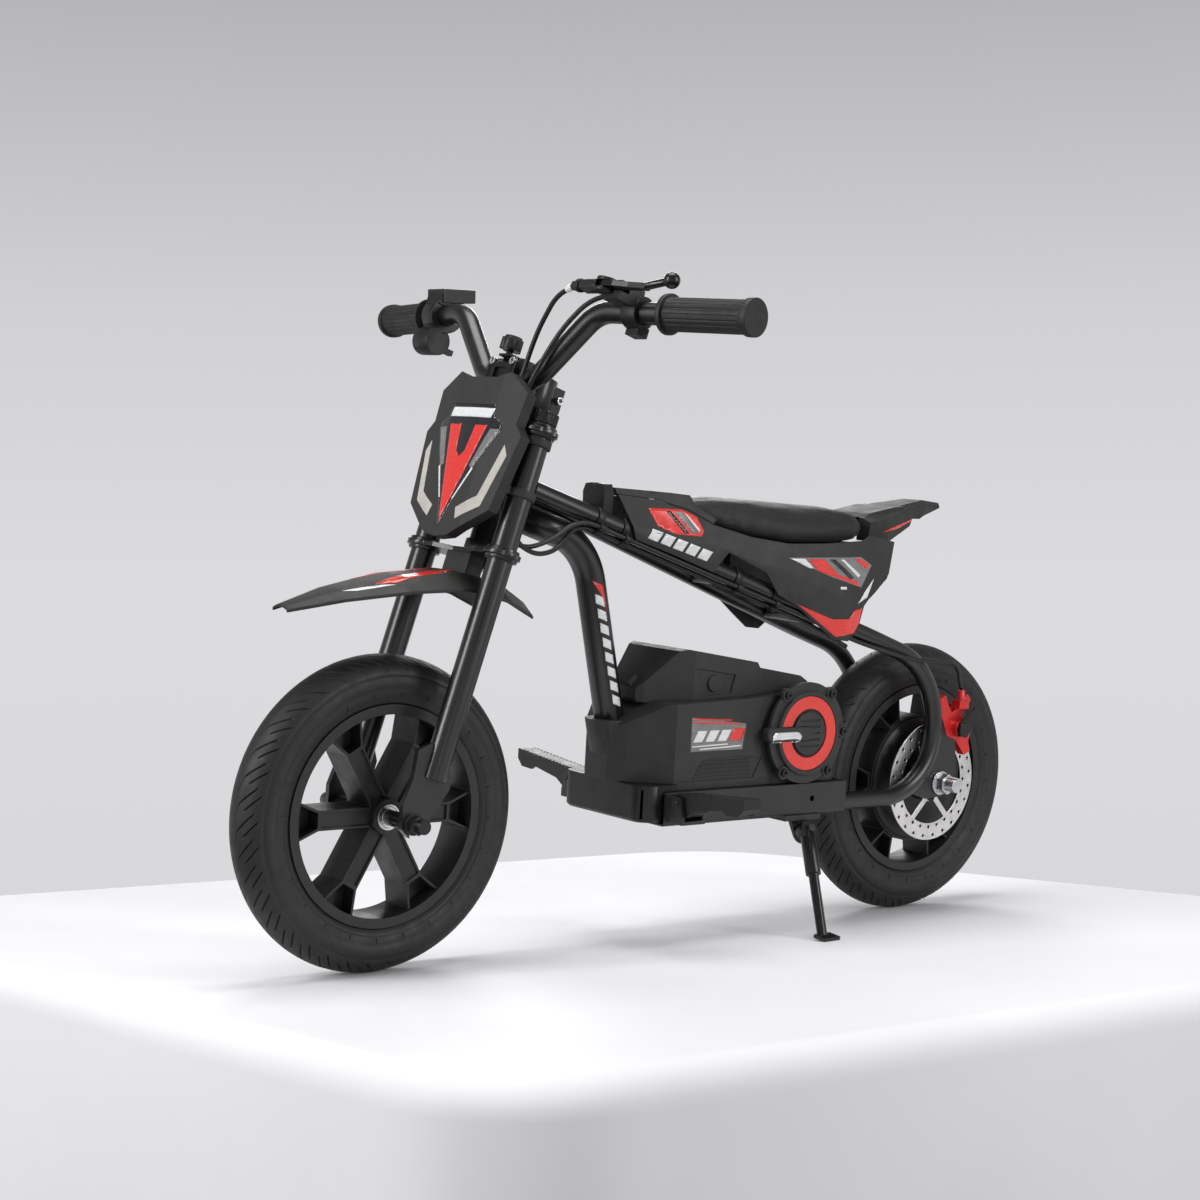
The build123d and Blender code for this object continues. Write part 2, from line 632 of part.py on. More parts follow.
def number_plate():
    """Shield-shaped front plate, bent back at both sides, with a rim and two lamp recesses."""
    face = Plane.YZ * make_face(Polyline(*plate_outline(0), close=True))
    slab = extrude(face, amount=90)
    bow = make_face(Polyline((58, -90), (67, -34), (68, 0), (67, 34), (58, 90), (46, 90), (55, 34),
                             (56, 0), (55, -34), (46, -90), close=True))
    skin = extrude(bow, amount=200)
    plate = slab & skin
    back = Plane.YZ * make_face(Polyline(*plate_outline(-5), close=True))
    hollow_bow = make_face(Polyline((54.5, -90), (63.5, -34), (64.5, 0), (63.5, 34), (54.5, 90), (30, 90),
                                    (30, -90), close=True))
    hollow = extrude(back, amount=90) & extrude(hollow_bow, amount=200)
    plate -= hollow
    for side in (1, -1):
        plate -= lamp_prism(side)
        for s in (116, 62):
            strut = Pos(48.7, side * (LEG_V - 2), s) * Box(19.4, 9, 8)
            strut += Pos(LEG_U, side * LEG_V, s) * Cylinder(15.5, 8)
            plate += strut - Pos(LEG_U, side * LEG_V, s) * Cylinder(LEG_R, 20)
    return steering(plate)


def lamp_prism(side):
    """Volume of one L-shaped lamp strip, in steering coordinates."""
    pts = [(62, 103), (69, 92), (54, 38), (24, 22), (20, 34), (46, 48)]
    outline = [(side * v, s) for v, s in pts]
    face = Plane.YZ * make_face(Polyline(*outline, close=True))
    front = extrude(face, amount=90)
    bow = make_face(Polyline((58, -90), (67, -34), (68, 0), (67, 34), (58, 90), (55.8, 90), (64.8, 34),
                             (65.8, 0), (64.8, -34), (55.8, -90), close=True))
    return front & extrude(bow, amount=200)


def plate_lamps():
    """Two clear lamp strips set in the number plate."""
    return Compound([steering(lamp_prism(side)) for side in (1, -1)])


def mudguard():
    """Front mudguard: arched blade over the wheel with side wings and a mounting pad."""
    stations = [(494, 14, 366, 4), (440, 30, 382, 9), (370, 44, 396, 14), (310, 50, 401, 16),
                (262, 50, 392, 18), (226, 46, 371, 14)]
    outer = []
    inner = []
    for x, w, z, drop in stations:
        plane = Plane(origin=(x, 0, z), x_dir=(0, 1, 0), z_dir=(1, 0, 0))
        arch = Polyline((-w, -drop), (-w * 0.62, -1.5), (-w * 0.2, 0), (w * 0.2, 0), (w * 0.62, -1.5),
                        (w, -drop), (w, -drop - 3), (-w, -drop - 3), close=True)
        cave = Polyline((-w + 2.5, -drop - 6), (-w + 2.5, -drop - 1), (-w * 0.62, -4.2),
                        (-w * 0.2, -2.6), (w * 0.2, -2.6), (w * 0.62, -4.2), (w - 2.5, -drop - 1),
                        (w - 2.5, -drop - 6), close=True)
        outer.append(plane * make_face(arch))
        inner.append(plane * make_face(cave))
    blade = loft(outer, ruled=True) - loft(inner, ruled=True)
    pad = steering(Pos(LEG_U - 6, 0, -CROWN_T / 2 - 12) * Box(20, 40, 24))
    pad -= steering(Pos(0, 0, -8) * Cylinder(17.2, 40))
    return blade + pad


# ---- frame ----
def head_tube():
    """Head tube with pressed-in headset cups at both ends."""
    length = CROWN_GAP - CROWN_T - 1.0
    body = Cylinder(HEAD_TUBE_R, length - 16)
    for s in (length / 2 - 6, -length / 2 + 6):
        body += Pos(0, 0, s) * Cylinder(HEAD_TUBE_R + 3, 12)
    body -= Cylinder(STEERER_R + 0.06, length + 4)
    return steering(Pos(0, 0, CROWN_GAP / 2) * body)


def down_tube():
    """Down tube: a short run back from the head tube, a bend, and the long run to the chassis."""
    points = [(228, 0, 459), (127, 0, 428), DOWN_TUBE_END]
    body = swept_tube(points, 72, DOWN_TUBE_R, TUBE_WALL)
    solid_head = Cylinder(HEAD_TUBE_R, 100)
    body -= steering(Pos(0, 0, CROWN_GAP / 2) * solid_head)
    return body


RAIL_RADII = [260, 96, 76]


def rail_points():
    """Centre line of the left upper rail with its rear loop."""
    run_z = CHASSIS_Z0 + RAIL_R + 0.3
    return [(212, 13.5, 483.5), (-240, RAIL_Y, 332.6), (-358.5, RAIL_Y, 293), (-358.5, RAIL_Y, run_z),
            (CHASSIS_REAR_X, RAIL_Y, run_z)]


def frame_rail(left):
    """Left rail with its rear loop and welded dropout plate; the right one has the smaller plate."""
    body = swept_tube(rail_points(), RAIL_RADII, RAIL_R, TUBE_WALL)
    body -= steering(Pos(0, 0, CROWN_GAP / 2) * Cylinder(HEAD_TUBE_R, 100))
    return body + axle_plate(left)


def rail_centre(x):
    """Point on the straight part of the left rail centre line."""
    a = Vector(212, 13.5, 483.5)
    b = Vector(-240, RAIL_Y, 332.6)
    t = (x - a.X) / (b.X - a.X)
    return a + (b - a) * t


def seat_crossbars():
    """Three cross tubes between the rails, the rear two carrying seat posts."""
    rail = swept(rail_points(), RAIL_RADII, RAIL_R)
    bars = []
    for x, post_top in ((60, 0), (-60, 424.5), (-185, 423.0)):
        c = rail_centre(x)
        bar = rod((x, -c.Y, c.Z), (x, c.Y, c.Z), 7.0)
        if post_top > 0:
            bar += box(x - 5, x + 5, -16, 16, c.Z, post_top)
        bar -= rail
        bar -= mirrored(rail)
        bars.append(bar)
    return Compound(bars)


def chassis():
    """Folded sheet chassis tray with end wall, peg brackets and the kickstand bracket."""
    body = box(CHASSIS_REAR_X, CHASSIS_FRONT_X, -CHASSIS_HALF_W, CHASSIS_HALF_W, CHASSIS_Z0, CHASSIS_Z1)
    edges = body.edges().filter_by(Axis.X).sort_by(Axis.Z)[:2]
    body = fillet(edges, 5.0)
    inner = CHASSIS_HALF_W - CHASSIS_WALL
    body -= box(CHASSIS_REAR_X + CHASSIS_WALL, CHASSIS_FRONT_X + 1, -inner, inner,
                CHASSIS_Z0 + CHASSIS_WALL, CHASSIS_Z1 + 1)
    flange = box(CHASSIS_REAR_X, CHASSIS_FRONT_X, inner - 9, inner + 0.5,
                 CHASSIS_Z1 - CHASSIS_WALL, CHASSIS_Z1)
    body += flange
    body += mirrored(flange)
    for side in (1, -1):
        body -= rod((-154.7, side * 60, 154.6), (-154.7, side * 80, 154.6), 3.2)
        bracket = peg_bracket()
        body += bracket if side > 0 else mirrored(bracket)
    body += stand_bracket()
    socket = rod((56.0, 0, 137.6), (60, 0, 154), DOWN_TUBE_R + 4)
    body += socket & box(30, CHASSIS_FRONT_X, -40, 40, CHASSIS_Z0 + 1, 160)
    return body - rod(DOWN_TUBE_END, (127, 0, 428), DOWN_TUBE_R)


def peg_bracket():
    """Bracket welded on the chassis side: base plate, two cheeks, a floor and the peg pin."""
    y0 = CHASSIS_HALF_W
    body = box(PEG_X - 18, PEG_X + 18, y0 - 0.5, y0 + 4, 141, 171)
    cheek = [(y0, 142), (y0 + 27, 142), (y0 + 27, 150), (y0 + 22, 170), (y0, 171)]
    for x in (PEG_X - 16.5, PEG_X + 12.5):
        body += front_plate(cheek, x, x + 4)
    body += box(PEG_X - 14, PEG_X + 14, y0, y0 + 27, 142, 146)
    body += rod((PEG_X - 20, PEG_PIN_Y, PEG_PIN_Z), (PEG_X + 20, PEG_PIN_Y, PEG_PIN_Z), 3.0)
    return body


def peg():
    """Folding foot peg: knuckle on the pin, ribbed tread on top and lightening pockets."""
    half = 12.0
    y0 = PEG_PIN_Y - 6.5
    outline = [(y0, 160), (y0, 169.5), (y0 + 5, 174), (PEG_END_Y, 183), (PEG_END_Y, 172),
               (PEG_END_Y - 8, 163.5), (PEG_END_Y - 26, 162.5), (PEG_END_Y - 32, 166.5),
               (PEG_PIN_Y + 26, 159.5), (PEG_PIN_Y + 12, 151), (PEG_PIN_Y, 151)]
    body = front_plate(outline, PEG_X - half, PEG_X + half)
    pocket = box(PEG_X - 8.5, PEG_X + 8.5, PEG_PIN_Y + 20, PEG_END_Y - 6, 150, 175)
    slope = math.degrees(math.atan2(9, PEG_END_Y - y0 - 5))
    body -= pocket - Pos(0, 0, 10.5) * front_plate([(80, 160.5), (200, 171.2), (200, 190), (80, 190)],
                                                   PEG_X - 9, PEG_X + 9)
    teeth = int((PEG_END_Y - y0 - 14) / 6)
    for i in range(teeth):
        y = y0 + 10 + i * 6
        z = 174 + (y - y0 - 5) * math.tan(math.radians(slope))
        for dx in (-half + 1.6, half - 1.6):
            body -= Pos(PEG_X + dx, y, z + 0.4) * Rot(45, 0, 0) * Box(3.6, 2.6, 2.6)
    for i in range(4):
        y = PEG_PIN_Y + 28 + i * 17
        body += box(PEG_X - 9, PEG_X + 9, y, y + 2.4, 166, 173)
    body -= rod((PEG_X - 30, PEG_PIN_Y, PEG_PIN_Z), (PEG_X + 30, PEG_PIN_Y, PEG_PIN_Z), 3.05)
    return body


def stand_bracket():
    """Kickstand bracket under the chassis with a pivot bolt."""
    axis = stand_axis()
    pivot = Vector(STAND_X, STAND_Y, STAND_Z)
    pad = box(STAND_X - 24, STAND_X + 30, 44, 75, CHASSIS_Z0 - 5, CHASSIS_Z0 + 1)
    plane = Plane(origin=pivot - axis * 13.5, z_dir=axis, x_dir=(1, 0, 0))
    tongue = extrude(plane * (Circle(11.0) + Pos(0, -12.5) * Rectangle(22, 25)), amount=5)
    bolt = extrude(plane * Circle(4.5), amount=24)
    return pad + tongue + bolt


def stand_axis():
    """Unit vector of the kickstand pivot."""
    return Vector(0.086, 0.857, 0.493).normalized()


def kickstand():
    """Kickstand: pivot eye, sleeve, thinner leg and a flattened foot."""
    axis = stand_axis()
    pivot = Vector(STAND_X, STAND_Y, STAND_Z)
    plane = Plane(origin=pivot - axis * 7.5, z_dir=axis)
    eye = extrude(plane * Circle(11.0), amount=13)
    foot = Vector(*STAND_FOOT)
    knee = pivot + (foot - pivot) * 0.42
    leg = rod(tuple(pivot), tuple(knee), 8.5) + rod(tuple(knee - (knee - pivot) * 0.1), tuple(foot), 5.6)
    leg += Pos(foot.X - 3, foot.Y + 4, foot.Z + 1.2) * Rot(-LEAN_DEG, 0, 0) * Pos(0, 0, -1.0) * Box(24, 17, 4)
    leg += eye
    hole = extrude(Plane(origin=pivot - axis * 40, z_dir=axis) * Circle(4.55), amount=80)
    return leg - hole


def nose_bumper():
    """Rounded plastic cap on the front of the chassis."""
    body = box(39, 88, -70, 70, 140, 179)
    upright = body.edges().filter_by(Axis.Z).sort_by(Axis.X)[-2:]
    body = fillet(upright, 20.0)
    rims = body.edges().group_by(Axis.Z)[0]
    body = chamfer(rims, 3.0)
    chassis_room = box(30, CHASSIS_FRONT_X + 0.4, -CHASSIS_HALF_W - 2, CHASSIS_HALF_W + 2, 130, 172.6)
    body -= chassis_room
    body -= box(CHASSIS_FRONT_X, 84, -64, 64, 144, 175)
    body -= rod(DOWN_TUBE_END, (127, 0, 428), DOWN_TUBE_R + 0.5)
    return body


def shell_volume(grow):
    """Outer volume of the drive housing, moved outward by grow."""
    w = SHELL_HALF_W + grow
    plan = [(CHASSIS_REAR_X + 8 - grow, -w + 8), (CHASSIS_REAR_X + 16 - grow, -w), (44, -w),
            (84 + grow, -34), (96 + grow, -18), (96 + grow, 18), (84 + grow, 34), (44, w),
            (CHASSIS_REAR_X + 16 - grow, w), (CHASSIS_REAR_X + 8 - grow, w - 8)]
    t = 160.0 if grow < 0 else CHASSIS_Z1 + 0.4
    body = top_plate(plan, t, 300)
    profile = [(CHASSIS_REAR_X - 5, t), (110, t), (110, 233 + grow), (88, 240 + grow), (50, 264 + grow),
               (-60, 268 + grow), (-150, 274 + grow), (-178, 264 + grow), (-203, 236 + grow)]
    return body & side_plate(profile, -90, 90)


def vent_window():
    """Shallow recess for the vent louvres on the left side panel."""
    outline = [(34, 181), (-70, 181), (-82, 203), (-40, 206), (0, 204), (22, 196)]
    return side_plate(outline, SHELL_HALF_W - 1.6, SHELL_HALF_W + 1.6)


def vent_louvres():
    """Five horizontal louvres in the vent recess."""
    louvres = []
    for i in range(5):
        z = 183.2 + i * 4.2
        louvres.append(box(-66, 16 - i * 3, SHELL_HALF_W - 2.2, SHELL_HALF_W - 0.4, z, z + 2.0))
    return Compound(louvres)


def cover_seat():
    """Round collar on the side panel that carries the engine cover."""
    outer = rod((COVER_X, SHELL_HALF_W - 2, COVER_Z), (COVER_X, SHELL_HALF_W + 6, COVER_Z), COVER_R - 6)
    return outer - rod((COVER_X, 50, COVER_Z), (COVER_X, 90, COVER_Z), COVER_R - 9)


def body_shell():
    """Drive housing: side panels, vent louvres, cover seats and the down tube collar."""
    body = shell_volume(0) - shell_volume(-SHELL_WALL)
    body -= box(38.5, 110, -90, 90, 160, 179.2)
    collar_a = (84.5, 0, 250)
    collar_b = (75.0, 0, 212)
    body += rod(collar_a, collar_b, DOWN_TUBE_R + 9) & box(40, 130, -40, 40, 205, 243)
    window = vent_window()
    seat = cover_seat()
    body -= window
    body -= mirrored(window)
    body = body + vent_louvres() + mirrored(vent_louvres()) + seat + mirrored(seat)
    return body - rod(DOWN_TUBE_END, (127, 0, 428), DOWN_TUBE_R)


def battery_lid():
    """Upper lid of the battery bay: sloped nose, recessed port panel and a stepped rear."""
    plan = [(-176, -40), (-160, -50), (8, -50), (58, -27), (64, -20), (64, 20), (58, 27), (8, 50),
            (-160, 50), (-176, 40)]
    body = top_plate(plan, 240, 330)
    profile = [(62, 262), (68, 272), (62, 280), (24, 318), (14, 320), (-84, 305), (-88, 299), (-150, 289),
               (-172, 276), (-176, 262)]
    body &= side_plate(profile, -60, 60)
    cave_plan = [(-172, -37), (-158, -46.5), (7, -46.5), (57, -24), (60, -18), (60, 18), (57, 24),
                 (7, 46.5), (-158, 46.5), (-172, 37)]
    cave_profile = [(62, 240), (62, 271), (22, 314), (13, 316), (-82, 301.5), (-86, 295.5), (-148, 285.5),
                    (-168, 273), (-172, 240)]
    body -= top_plate(cave_plan, 240, 330) & side_plate(cave_profile, -60, 60)
    body -= shell_volume(0.0)
    window = side_plate([(56.5, 291), (27, 319.5), (31, 324), (64, 293)], -22, 22)
    body -= window
    for side in (1, -1):
        port = side_plate([(-8, 270), (6, 300), (-52, 292), (-46, 272)], side * 50 - 2, side * 50 + 2)
        body -= port
        body += rod((-22, side * 46, 283), (-22, side * 50.5, 283), 9.0)
    latch = side_plate([(63, 277), (53, 287), (58, 292), (68, 282)], -12, 12)
    return body + latch


def engine_cover():
    """Round side cover with three screw ears and a grooved centre boss."""
    y = COVER_FACE_Y
    c = (COVER_X, COVER_Z)
    body = rod((c[0], y, c[1]), (c[0], y + 5, c[1]), COVER_R)
    body += rod((c[0], y + 5, c[1]), (c[0], y + 9, c[1]), 46.0)
    body += rod((c[0], y, c[1]), (c[0], y - 3, c[1]), COVER_R - 9.3)
    for angle in COVER_EARS:
        a = math.radians(angle)
        x = c[0] + (COVER_R - 2) * math.cos(a)
        z = c[1] + (COVER_R - 2) * math.sin(a)
        body += rod((x, y, z), (x, y + 7, z), 7.5)
    body -= rod((c[0], y + 6, c[1]), (c[0], y + 10, c[1]), 41.5)
    body += rod((c[0], y + 5, c[1]), (c[0], y + 9.5, c[1]), 24.0)
    for i in range(-2, 3):
        body -= box(c[0] - 15, c[0] + 15, y + 8.3, y + 10, c[1] + i * 7 - 1, c[1] + i * 7 + 1)
    arm = side_plate([(c[0] + 4, c[1] - 7.5), (c[0] + 56, c[1] - 7.5), (c[0] + 56, c[1] + 7.5),
                      (c[0] + 4, c[1] + 7.5)], y + 5, y + 11)
    arm += rod((c[0] + 56, y, c[1]), (c[0] + 56, y + 11, c[1]), 7.5)
    arm += rod((c[0] + 4, y + 5, c[1]), (c[0] + 4, y + 11, c[1]), 7.5)
    body += arm
    for angle in COVER_EARS:
        a = math.radians(angle)
        x = c[0] + (COVER_R - 2) * math.cos(a)
        z = c[1] + (COVER_R - 2) * math.sin(a)
        body -= rod((x, y - 5, z), (x, y + 8, z), 2.5)
    return body


def cover_ring():
    """Coloured trim ring set in the engine cover around its boss, gapped for the arm."""
    y = COVER_FACE_Y
    ring = rod((COVER_X, y + 6, COVER_Z), (COVER_X, y + 8.4, COVER_Z), 41.0)
    ring -= rod((COVER_X, y + 5, COVER_Z), (COVER_X, y + 9, COVER_Z), 27.0)
    ring -= box(COVER_X, COVER_X + 60, y + 4, y + 12, COVER_Z - 8, COVER_Z + 8)
    return ring


def cover_screws():
    """Socket screws of both engine covers."""
    y = COVER_FACE_Y + 7
    screws = []
    for side in (1, -1):
        for angle in COVER_EARS:
            if angle == 0.0:
                continue
            a = math.radians(angle)
            x = COVER_X + (COVER_R - 2) * math.cos(a)
            z = COVER_Z + (COVER_R - 2) * math.sin(a)
            head = rod((x, y, z), (x, y + 3, z), 4.5) - hex_bar((x, y + 1, z), (x, y + 4, z), 3.4)
            screw = head + rod((x, y - 9, z), (x, y, z), 2.5)
            screws.append(screw if side > 0 else mirrored(screw))
    return Compound(screws)


def battery_pack():
    """Battery pack on the chassis floor inside the housing."""
    body = box(-160, 34, -55, 55, CHASSIS_Z0 + CHASSIS_WALL, 252)
    return fillet(body.edges().filter_by(Axis.X), 5.0)


# ---- seat and bodywork ----
def seat_body(grow):
    """Outer volume of the seat bodywork as a ruled loft, moved outward by grow."""
    stations = [(106, 15, 489, 38, 430), (40, 32, 486, 45, 414), (-15, 42, 482, 51, 402),
                (-60, 50, 478, 57, 384), (-125, 57, 474, 67, 362), (-190, 60, 473, 75, 322),
                (-240, 55, 474, 69, 330), (-290, 44, 474, 54, 392)]
    faces = []
    for x, top_w, top_z, low_w, low_z in stations:
        plane = Plane(origin=(x, 0, 0), x_dir=(0, 1, 0), z_dir=(1, 0, 0))
        tw = top_w + grow
        lw = low_w + grow
        mid_w = low_w + grow + 1.5
        mid_z = top_z * 0.35 + low_z * 0.65
        pts = [(-tw, top_z + grow), (tw, top_z + grow), (mid_w, mid_z), (lw, low_z - 10), (-lw, low_z - 10),
               (-mid_w, mid_z)]
        faces.append(plane * make_face(Polyline(*pts, close=True)))
    return loft(faces, ruled=True)


def seat_skin():
    """Open-bottomed skin of the bodywork."""
    inner = seat_body(-PANEL_T) + Pos(0, 0, -14) * seat_body(-PANEL_T)
    skin = seat_body(0) - inner
    skin -= box(104, 110, -60, 60, 400, 500)
    return skin - box(-300, -285, -60, 60, 300, 500)


def side_outline():
    """Outline of the side fairing as (x, z): nose, rail edge, notch, lobe and rear edge."""
    return [(103, 482), (97, 452), (92, 436), (40, 420), (-10, 403), (-28, 425), (-78, 404), (-96, 380),
            (-121, 368), (-150, 348), (-176, 331), (-196, 329), (-212, 342), (-220, 368), (-228, 376),
            (-262, 398), (-268, 404), (-284, 440), (-238, 447), (-225, 441), (-160, 437), (-110, 436),
            (-60, 442), (-10, 454), (20, 468), (60, 478)]


def fairing():
    """Left side fairing with the lower lobe."""
    skin = seat_skin() & side_plate(side_outline(), 0.25, 100)
    skin -= box(-400, 200, -5, 12, 460, 500)
    cable_room = box(-300, 110, -1, 8, 300, 460)
    return skin - cable_room


def tank_cowl():
    """Top cowl between the fairings, in front of the seat."""
    skin = seat_skin()
    outline = [(104, 500), (104, 482.5), (60, 478.5), (20, 468.5), (-10, 454.5), (-14, 460), (12, 474),
               (24, 500)]
    return skin & side_plate(outline, -60, 60)


def cowl_nose():
    """Rubber nose block on the rails in front of the cowl, grooved along its top."""
    outline = [(-17, 455), (-18, 484), (-14, 492), (-5, 493), (-3, 488), (3, 488), (5, 493), (14, 492),
               (18, 484), (17, 455)]
    body = front_plate(outline, 106.5, 120)
    rail = swept(rail_points(), RAIL_RADII, RAIL_R)
    body = body - rail - mirrored(rail)
    return body.solids().sort_by(Axis.Z)[-1]


def tail_cowl():
    """Duck-tail cowl behind the cushion with an arched opening."""
    stations = [(-246, 50, 466, 440), (-284, 44, 471, 438), (-320, 34, 481, 452), (-365, 22, 488, 470),
                (-404, 8, 485, 479)]
    faces = []
    for x, w, top, low in stations:
        plane = Plane(origin=(x, 0, 0), x_dir=(0, 1, 0), z_dir=(1, 0, 0))
        pts = [(-w * 0.7, top), (w * 0.7, top), (w, top - 5), (w * 0.92, low), (-w * 0.92, low),
               (-w, top - 5)]
        faces.append(plane * make_face(Polyline(*pts, close=True)))
    body = loft(faces, ruled=True)
    arch = side_plate([(-240, 480), (-240, 449), (-286, 449), (-300, 462), (-304, 472), (-296, 480)],
                      -30, 30)
    body -= arch
    hollow = side_plate([(-243, 445), (-243, 430), (-320, 430), (-360, 466), (-330, 466), (-300, 446)],
                        -28, 28)
    return body - hollow


def tail_hoop():
    """Arched bridge over the tail opening, part of the tail cowl."""
    hoop = side_plate([(-252, 466), (-262, 471), (-302, 479), (-318, 480), (-318, 474), (-300, 473),
                       (-264, 465)], -32, 32)
    return hoop


def seat_pan():
    """Moulded pan under the cushion."""
    plan = [(8, -18), (-20, -40), (-70, -48), (-180, -52), (-232, -46), (-232, 46), (-180, 52), (-70, 48),
            (-20, 40), (8, 18)]
    profile = [(6, 462), (-10, 451.5), (-60, 438.5), (-110, 432.5), (-160, 433.5), (-232, 438), (-232, 430),
               (-160, 425), (-110, 424), (-60, 430), (-10, 443), (6, 454)]
    return top_plate(plan, 400, 480) & side_plate(profile, -60, 60)


def seat_cushion():
    """Seat cushion as a plain closed body, narrow at the nose."""
    stations = [(12, 12, 469, 477), (0, 24, 462, 482), (-40, 38, 449, 484), (-100, 50, 439, 479),
                (-170, 55, 438, 476), (-222, 52, 443, 476), (-240, 42, 450, 470)]
    faces = []
    for x, w, low, top in stations:
        plane = Plane(origin=(x, 0, 0), x_dir=(0, 1, 0), z_dir=(1, 0, 0))
        pts = [(-w, low), (w, low), (w * 1.06, low * 0.5 + top * 0.5), (w * 0.8, top - 3), (0, top),
               (-w * 0.8, top - 3), (-w * 1.06, low * 0.5 + top * 0.5)]
        faces.append(plane * make_face(Polyline(*pts, close=True)))
    return loft(faces)


# ---- rear end ----
def axle_plate(left):
    """Rear dropout plate between the rail loop and the axle; the left one carries the caliper."""
    y0 = RAIL_Y - 5
    outline = [(-352, 248), (-372, 246), (-398, 208), (-402, 176), (-392, 150), (-378, 142), (-352, 141),
               (-322, 150), (-338, 166), (-352, 190), (-357, 222)]
    if not left:
        outline = [(-352, 222), (-366, 222), (-392, 176), (-390, 150), (-376, 142), (-352, 141),
                   (-322, 150), (-338, 166), (-350, 190)]
    plate = side_plate(outline, y0, y0 + 5)
    plate -= axle_rod(-AXLE_X, 40, 90, 8.0)
    path_cut = swept(rail_points(), RAIL_RADII, RAIL_R)
    plate -= path_cut
    return plate


def rear_axle():
    """Threaded rear axle fixed in the dropouts; its left end stands out beyond the nut."""
    return axle_rod(-AXLE_X, -84, 89, REAR_AXLE_R)


def rear_nuts():
    """Washer and hexagon nut on both ends of the rear axle."""
    sets = []
    for side in (1, -1):
        y = RAIL_Y
        washer = axle_rod(-AXLE_X, side * y, side * (y + 2.5), 14.0)
        nut = hex_bar((-AXLE_X, side * (y + 2.5), AXLE_Z), (-AXLE_X, side * (y + 14), AXLE_Z), 21.0)
        sets.append(washer + nut - axle_rod(-AXLE_X, side * (y - 1), side * (y + 15), REAR_AXLE_R))
    return Compound(sets)


def caliper_body():
    """Brake caliper straddling the disc, on an arm bolted to the left dropout plate."""
    outline = [(-361, 254), (-376, 262), (-388, 240), (-402, 252), (-414, 262), (-420, 256), (-404, 236),
               (-424, 222), (-420, 206), (-424, 194), (-414, 190), (-398, 208), (-382, 214), (-374, 232)]
    outer = side_plate(outline, 53, 63)
    inner = side_plate([(-384, 240), (-402, 236), (-412, 222), (-406, 210), (-394, 206), (-384, 214)],
                       38, 44)
    bridge = side_plate([(-388, 238), (-404, 238), (-418, 224), (-412, 218), (-402, 230), (-388, 231)],
                        38, 63)
    body = outer + inner + bridge
    body -= rod((-AXLE_X, 45.4, AXLE_Z), (-AXLE_X, 50.6, AXLE_Z), DISC_R + 1.5)
    body -= axle_plate(True)
    body -= swept(rail_points(), RAIL_RADII, RAIL_R)
    knob = rod((CALIPER_X, 62, CALIPER_Z), (CALIPER_X, 71, CALIPER_Z), 9.5)
    stop = box(CALIPER_X - 10, CALIPER_X + 6, 58, 71, 246, 256)
    barrel = rod((CALIPER_X - 2, 66, 250), (CALIPER_X, 66, 268), 4.5)
    return body + knob + stop + barrel


def caliper_arm():
    """Caliper actuating arm that the cable pulls."""
    arm = side_plate([(-392, 214), (-404, 212), (-428, 240), (-424, 246), (-418, 246), (-392, 230)],
                     71.4, 74.4)
    arm += rod((CALIPER_X, 71.4, CALIPER_Z), (CALIPER_X, 76, CALIPER_Z), 8.0)
    return arm


def beside_rail(x, run):
    """Point beside and below the left rail at x; run holds the two offsets."""
    c = rail_centre(x)
    return (x, c.Y + run[0], c.Z - run[1])


def brake_cable_rear():
    """Brake cable on the frame: a loop beside the head tube, the left rail, then the caliper."""
    points = [steer_point(30, 34, 64.5), steer_point(26, 34, 40), steer_point(8, 34, 22),
              steer_point(-20, 34, 20), steer_point(-46, 33.5, 36), beside_rail(160, BRAKE_RUN),
              beside_rail(-158, BRAKE_RUN), (-208, 66, 330.5), (-285, 79, 309), (-345, 78, 303),
              (-384, 70.5, 301), (CALIPER_X, 66, 269.4)]
    return cable("brake_cable_rear", points)


def switch_wire_rear():
    """Brake switch lead on the frame, clipped beside the brake cable."""
    points = [steer_point(19, 43, 64.5), steer_point(15, 42.7, 38), steer_point(-3, 42, 20),
              steer_point(-31, 40, 17), steer_point(-56, 36.5, 30), beside_rail(158, SWITCH_RUN),
              beside_rail(-150, SWITCH_RUN), (-206, 62, 322)]
    return cable("switch_wire_rear", points)


def cable_clips():
    """Clips on the left rail: a band round the rail with an eye for each cable."""
    clips = []
    for x in CLIP_X:
        c = rail_centre(x)
        along = (rail_centre(x - 4) - rail_centre(x + 4))
        a = c - along * 0.5
        b = c + along * 0.5
        clip = rod(tuple(a), tuple(b), RAIL_R + 1.6)
        for dy, dz in (BRAKE_RUN, SWITCH_RUN):
            shift = Vector(0, dy, -dz)
            clip += rod(tuple(a + shift), tuple(b + shift), CABLE_R + 1.5)
        clip -= rod(tuple(a - along), tuple(b + along), RAIL_R)
        for dy, dz in (BRAKE_RUN, SWITCH_RUN):
            shift = Vector(0, dy, -dz)
            clip -= rod(tuple(a - along + shift), tuple(b + along + shift), CABLE_R + 0.1)
        clips.append(clip)
    return Compound(clips)


# ---- cables on the steering assembly ----
def brake_cable_front():
    """Brake cable from the lever perch down behind the number plate to the side of the head tube."""
    u, v, s = LEVER_PIVOT
    route = [(u + 3, v - 46.2, s), (u + 1, v - 72, s - 10), (59, 54, 224), (51, 40, 186), (49, 36, 152),
             (46, 35, 120), (36, 34.5, 94), (30, 34, 66)]
    return cable("brake_cable_front", [steer_point(*p) for p in route])


